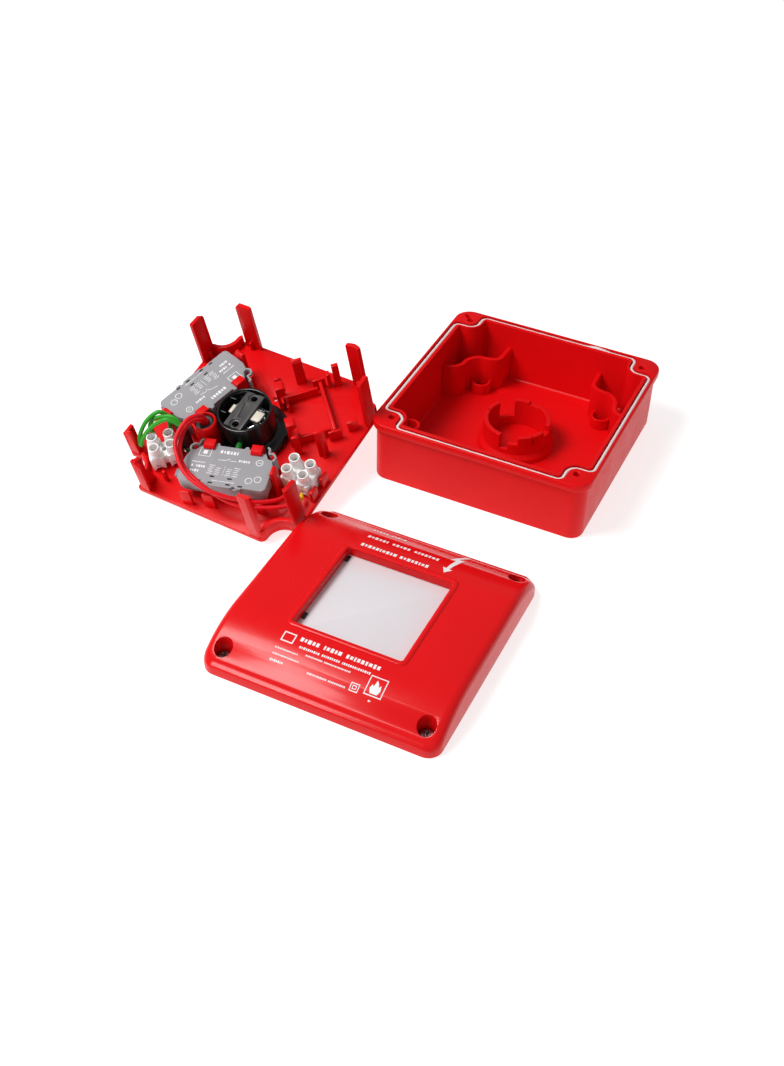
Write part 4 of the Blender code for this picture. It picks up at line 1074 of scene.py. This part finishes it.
GREENS = ([(-23.58, -20.02, 17.5), (-23.55, -20.05, 20.6), (-28.5, -21.6, 24.4), (-32.8, -24.2, 23.0),
           (-37.2, -27.1, 19.0), (-41.1, -29.9, 13.0), (-42.0, -31.6, 9.5), (-43.4, -29.5, 12.6),
           (-41.0, -24.7, 19.5), (-36.8, -19.2, 23.0), (-33.6, -17.2, 20.0), (-32.9, -17.8, 15.5),
           (-32.9, -18.8, 11.7)],
          [(-24.82, -18.78, 17.5), (-24.85, -18.75, 20.2), (-28.6, -18.6, 22.8), (-33.6, -20.2, 22.4),
           (-38.6, -21.6, 19.4), (-40.8, -23.2, 15.4), (-40.0, -23.8, 12.9), (-39.4, -24.4, 11.4)])
FERRULES = (((34.8, -21.7, 7.0), (37.0, -25.2, 7.9)), ((42.5, -21.7, 7.0), (44.2, -25.2, 7.9)),
            ((-32.4, -19.9, 7.2), (-32.9, -18.9, 11.2)), ((-38.7, -25.6, 7.2), (-39.4, -24.4, 11.2)))


def ferrule(start, end):
    """A crimped sleeve that widens where the wire goes in."""
    axis = Vector(end) - Vector(start)
    length = axis.length
    outline = [(0, 0), (0.7, 0), (0.8, length * 0.35), (1.2, length * 0.5), (1.35, length), (1.1, length),
               (0, length - 0.2)]
    bm = lathe(outline, steps=28)
    bmesh.ops.rotate(bm, cent=(0, 0, 0), matrix=axis.to_track_quat("Z", "Y").to_matrix(), verts=bm.verts)
    return shift(bm, *start)


for colour, routes, material in (("red", REDS, WIRE_RED), ("green", GREENS, WIRE_GREEN)):
    for i, route in enumerate(routes, 1):
        on_panel(f"{colour}_lead_{i}", tube(through(route, 8), WIRE_R), material, (f"{colour}_wire_{i}",),
                 angle=60)
for i, ends in enumerate(FERRULES, 1):
    on_panel(f"lead_end_{i}", ferrule(*ends), FERRULE, (f"ferrule_{i}",), angle=60)


# ---------------------------------------------------------------- floor, light and camera


def floor():
    """A plain pale floor."""
    bm = bmesh.new()
    bmesh.ops.create_grid(bm, x_segments=1, y_segments=1, size=4.0)
    obj = bpy.data.objects.new("studio_floor", mesh_of(bm))
    bpy.context.scene.collection.objects.link(obj)
    material, _, shader = new_material("studio_floor")
    dial(shader, Base_Color=(0.54, 0.54, 0.54, 1), Roughness=0.9, Specular_IOR_Level=0.1,
         Emission_Color=(1, 1, 1, 1), Emission_Strength=0.72)
    obj.data.materials.append(material)


def soft_light(name, at, target, size, power, shine):
    light = bpy.data.lights.new(name, "AREA")
    light.shape, light.specular_factor = "RECTANGLE", shine
    (light.size, light.size_y), light.energy = size, power
    obj = bpy.data.objects.new(name, light)
    obj.location = at
    obj.rotation_euler = (Vector(target) - Vector(at)).to_track_quat("-Z", "Y").to_euler()
    bpy.context.scene.collection.objects.link(obj)


def world_light(strength):
    world = bpy.data.worlds.new("studio")
    world.use_nodes = True
    dial(world.node_tree.nodes["Background"], Color=(1, 1, 1, 1), Strength=strength)
    bpy.context.scene.world = world


def camera():
    at, target = Vector((0.1718, -0.5003, 0.4158)), Vector((-0.0258, -0.0858, 0))
    forward = (target - at).normalized()
    right = forward.cross(Vector((0, 0, 1))).normalized()
    up = right.cross(forward)
    roll = radians(1.01)
    right, up = right * cos(roll) + up * sin(roll), up * cos(roll) - right * sin(roll)
    data = bpy.data.cameras.new("view")
    data.sensor_width, data.lens = 36.0, 45.49
    obj = bpy.data.objects.new("view", data)
    matrix = Matrix((right, up, -forward)).transposed().to_4x4()
    obj.matrix_world = Matrix.Translation(at) @ matrix
    bpy.context.scene.collection.objects.link(obj)
    bpy.context.scene.camera = obj


floor()
world_light(0.33)
soft_light("key", (-0.5, -0.38, 0.9), (-0.06, -0.1, 0), size=(0.46, 0.42), power=9.9, shine=0.48)
soft_light("front", (0.15, -0.95, 0.42), (-0.05, -0.1, 0.02), size=(0.8, 0.5), power=0.2, shine=0.15)
camera()
bpy.context.scene.view_settings.view_transform = "Standard"
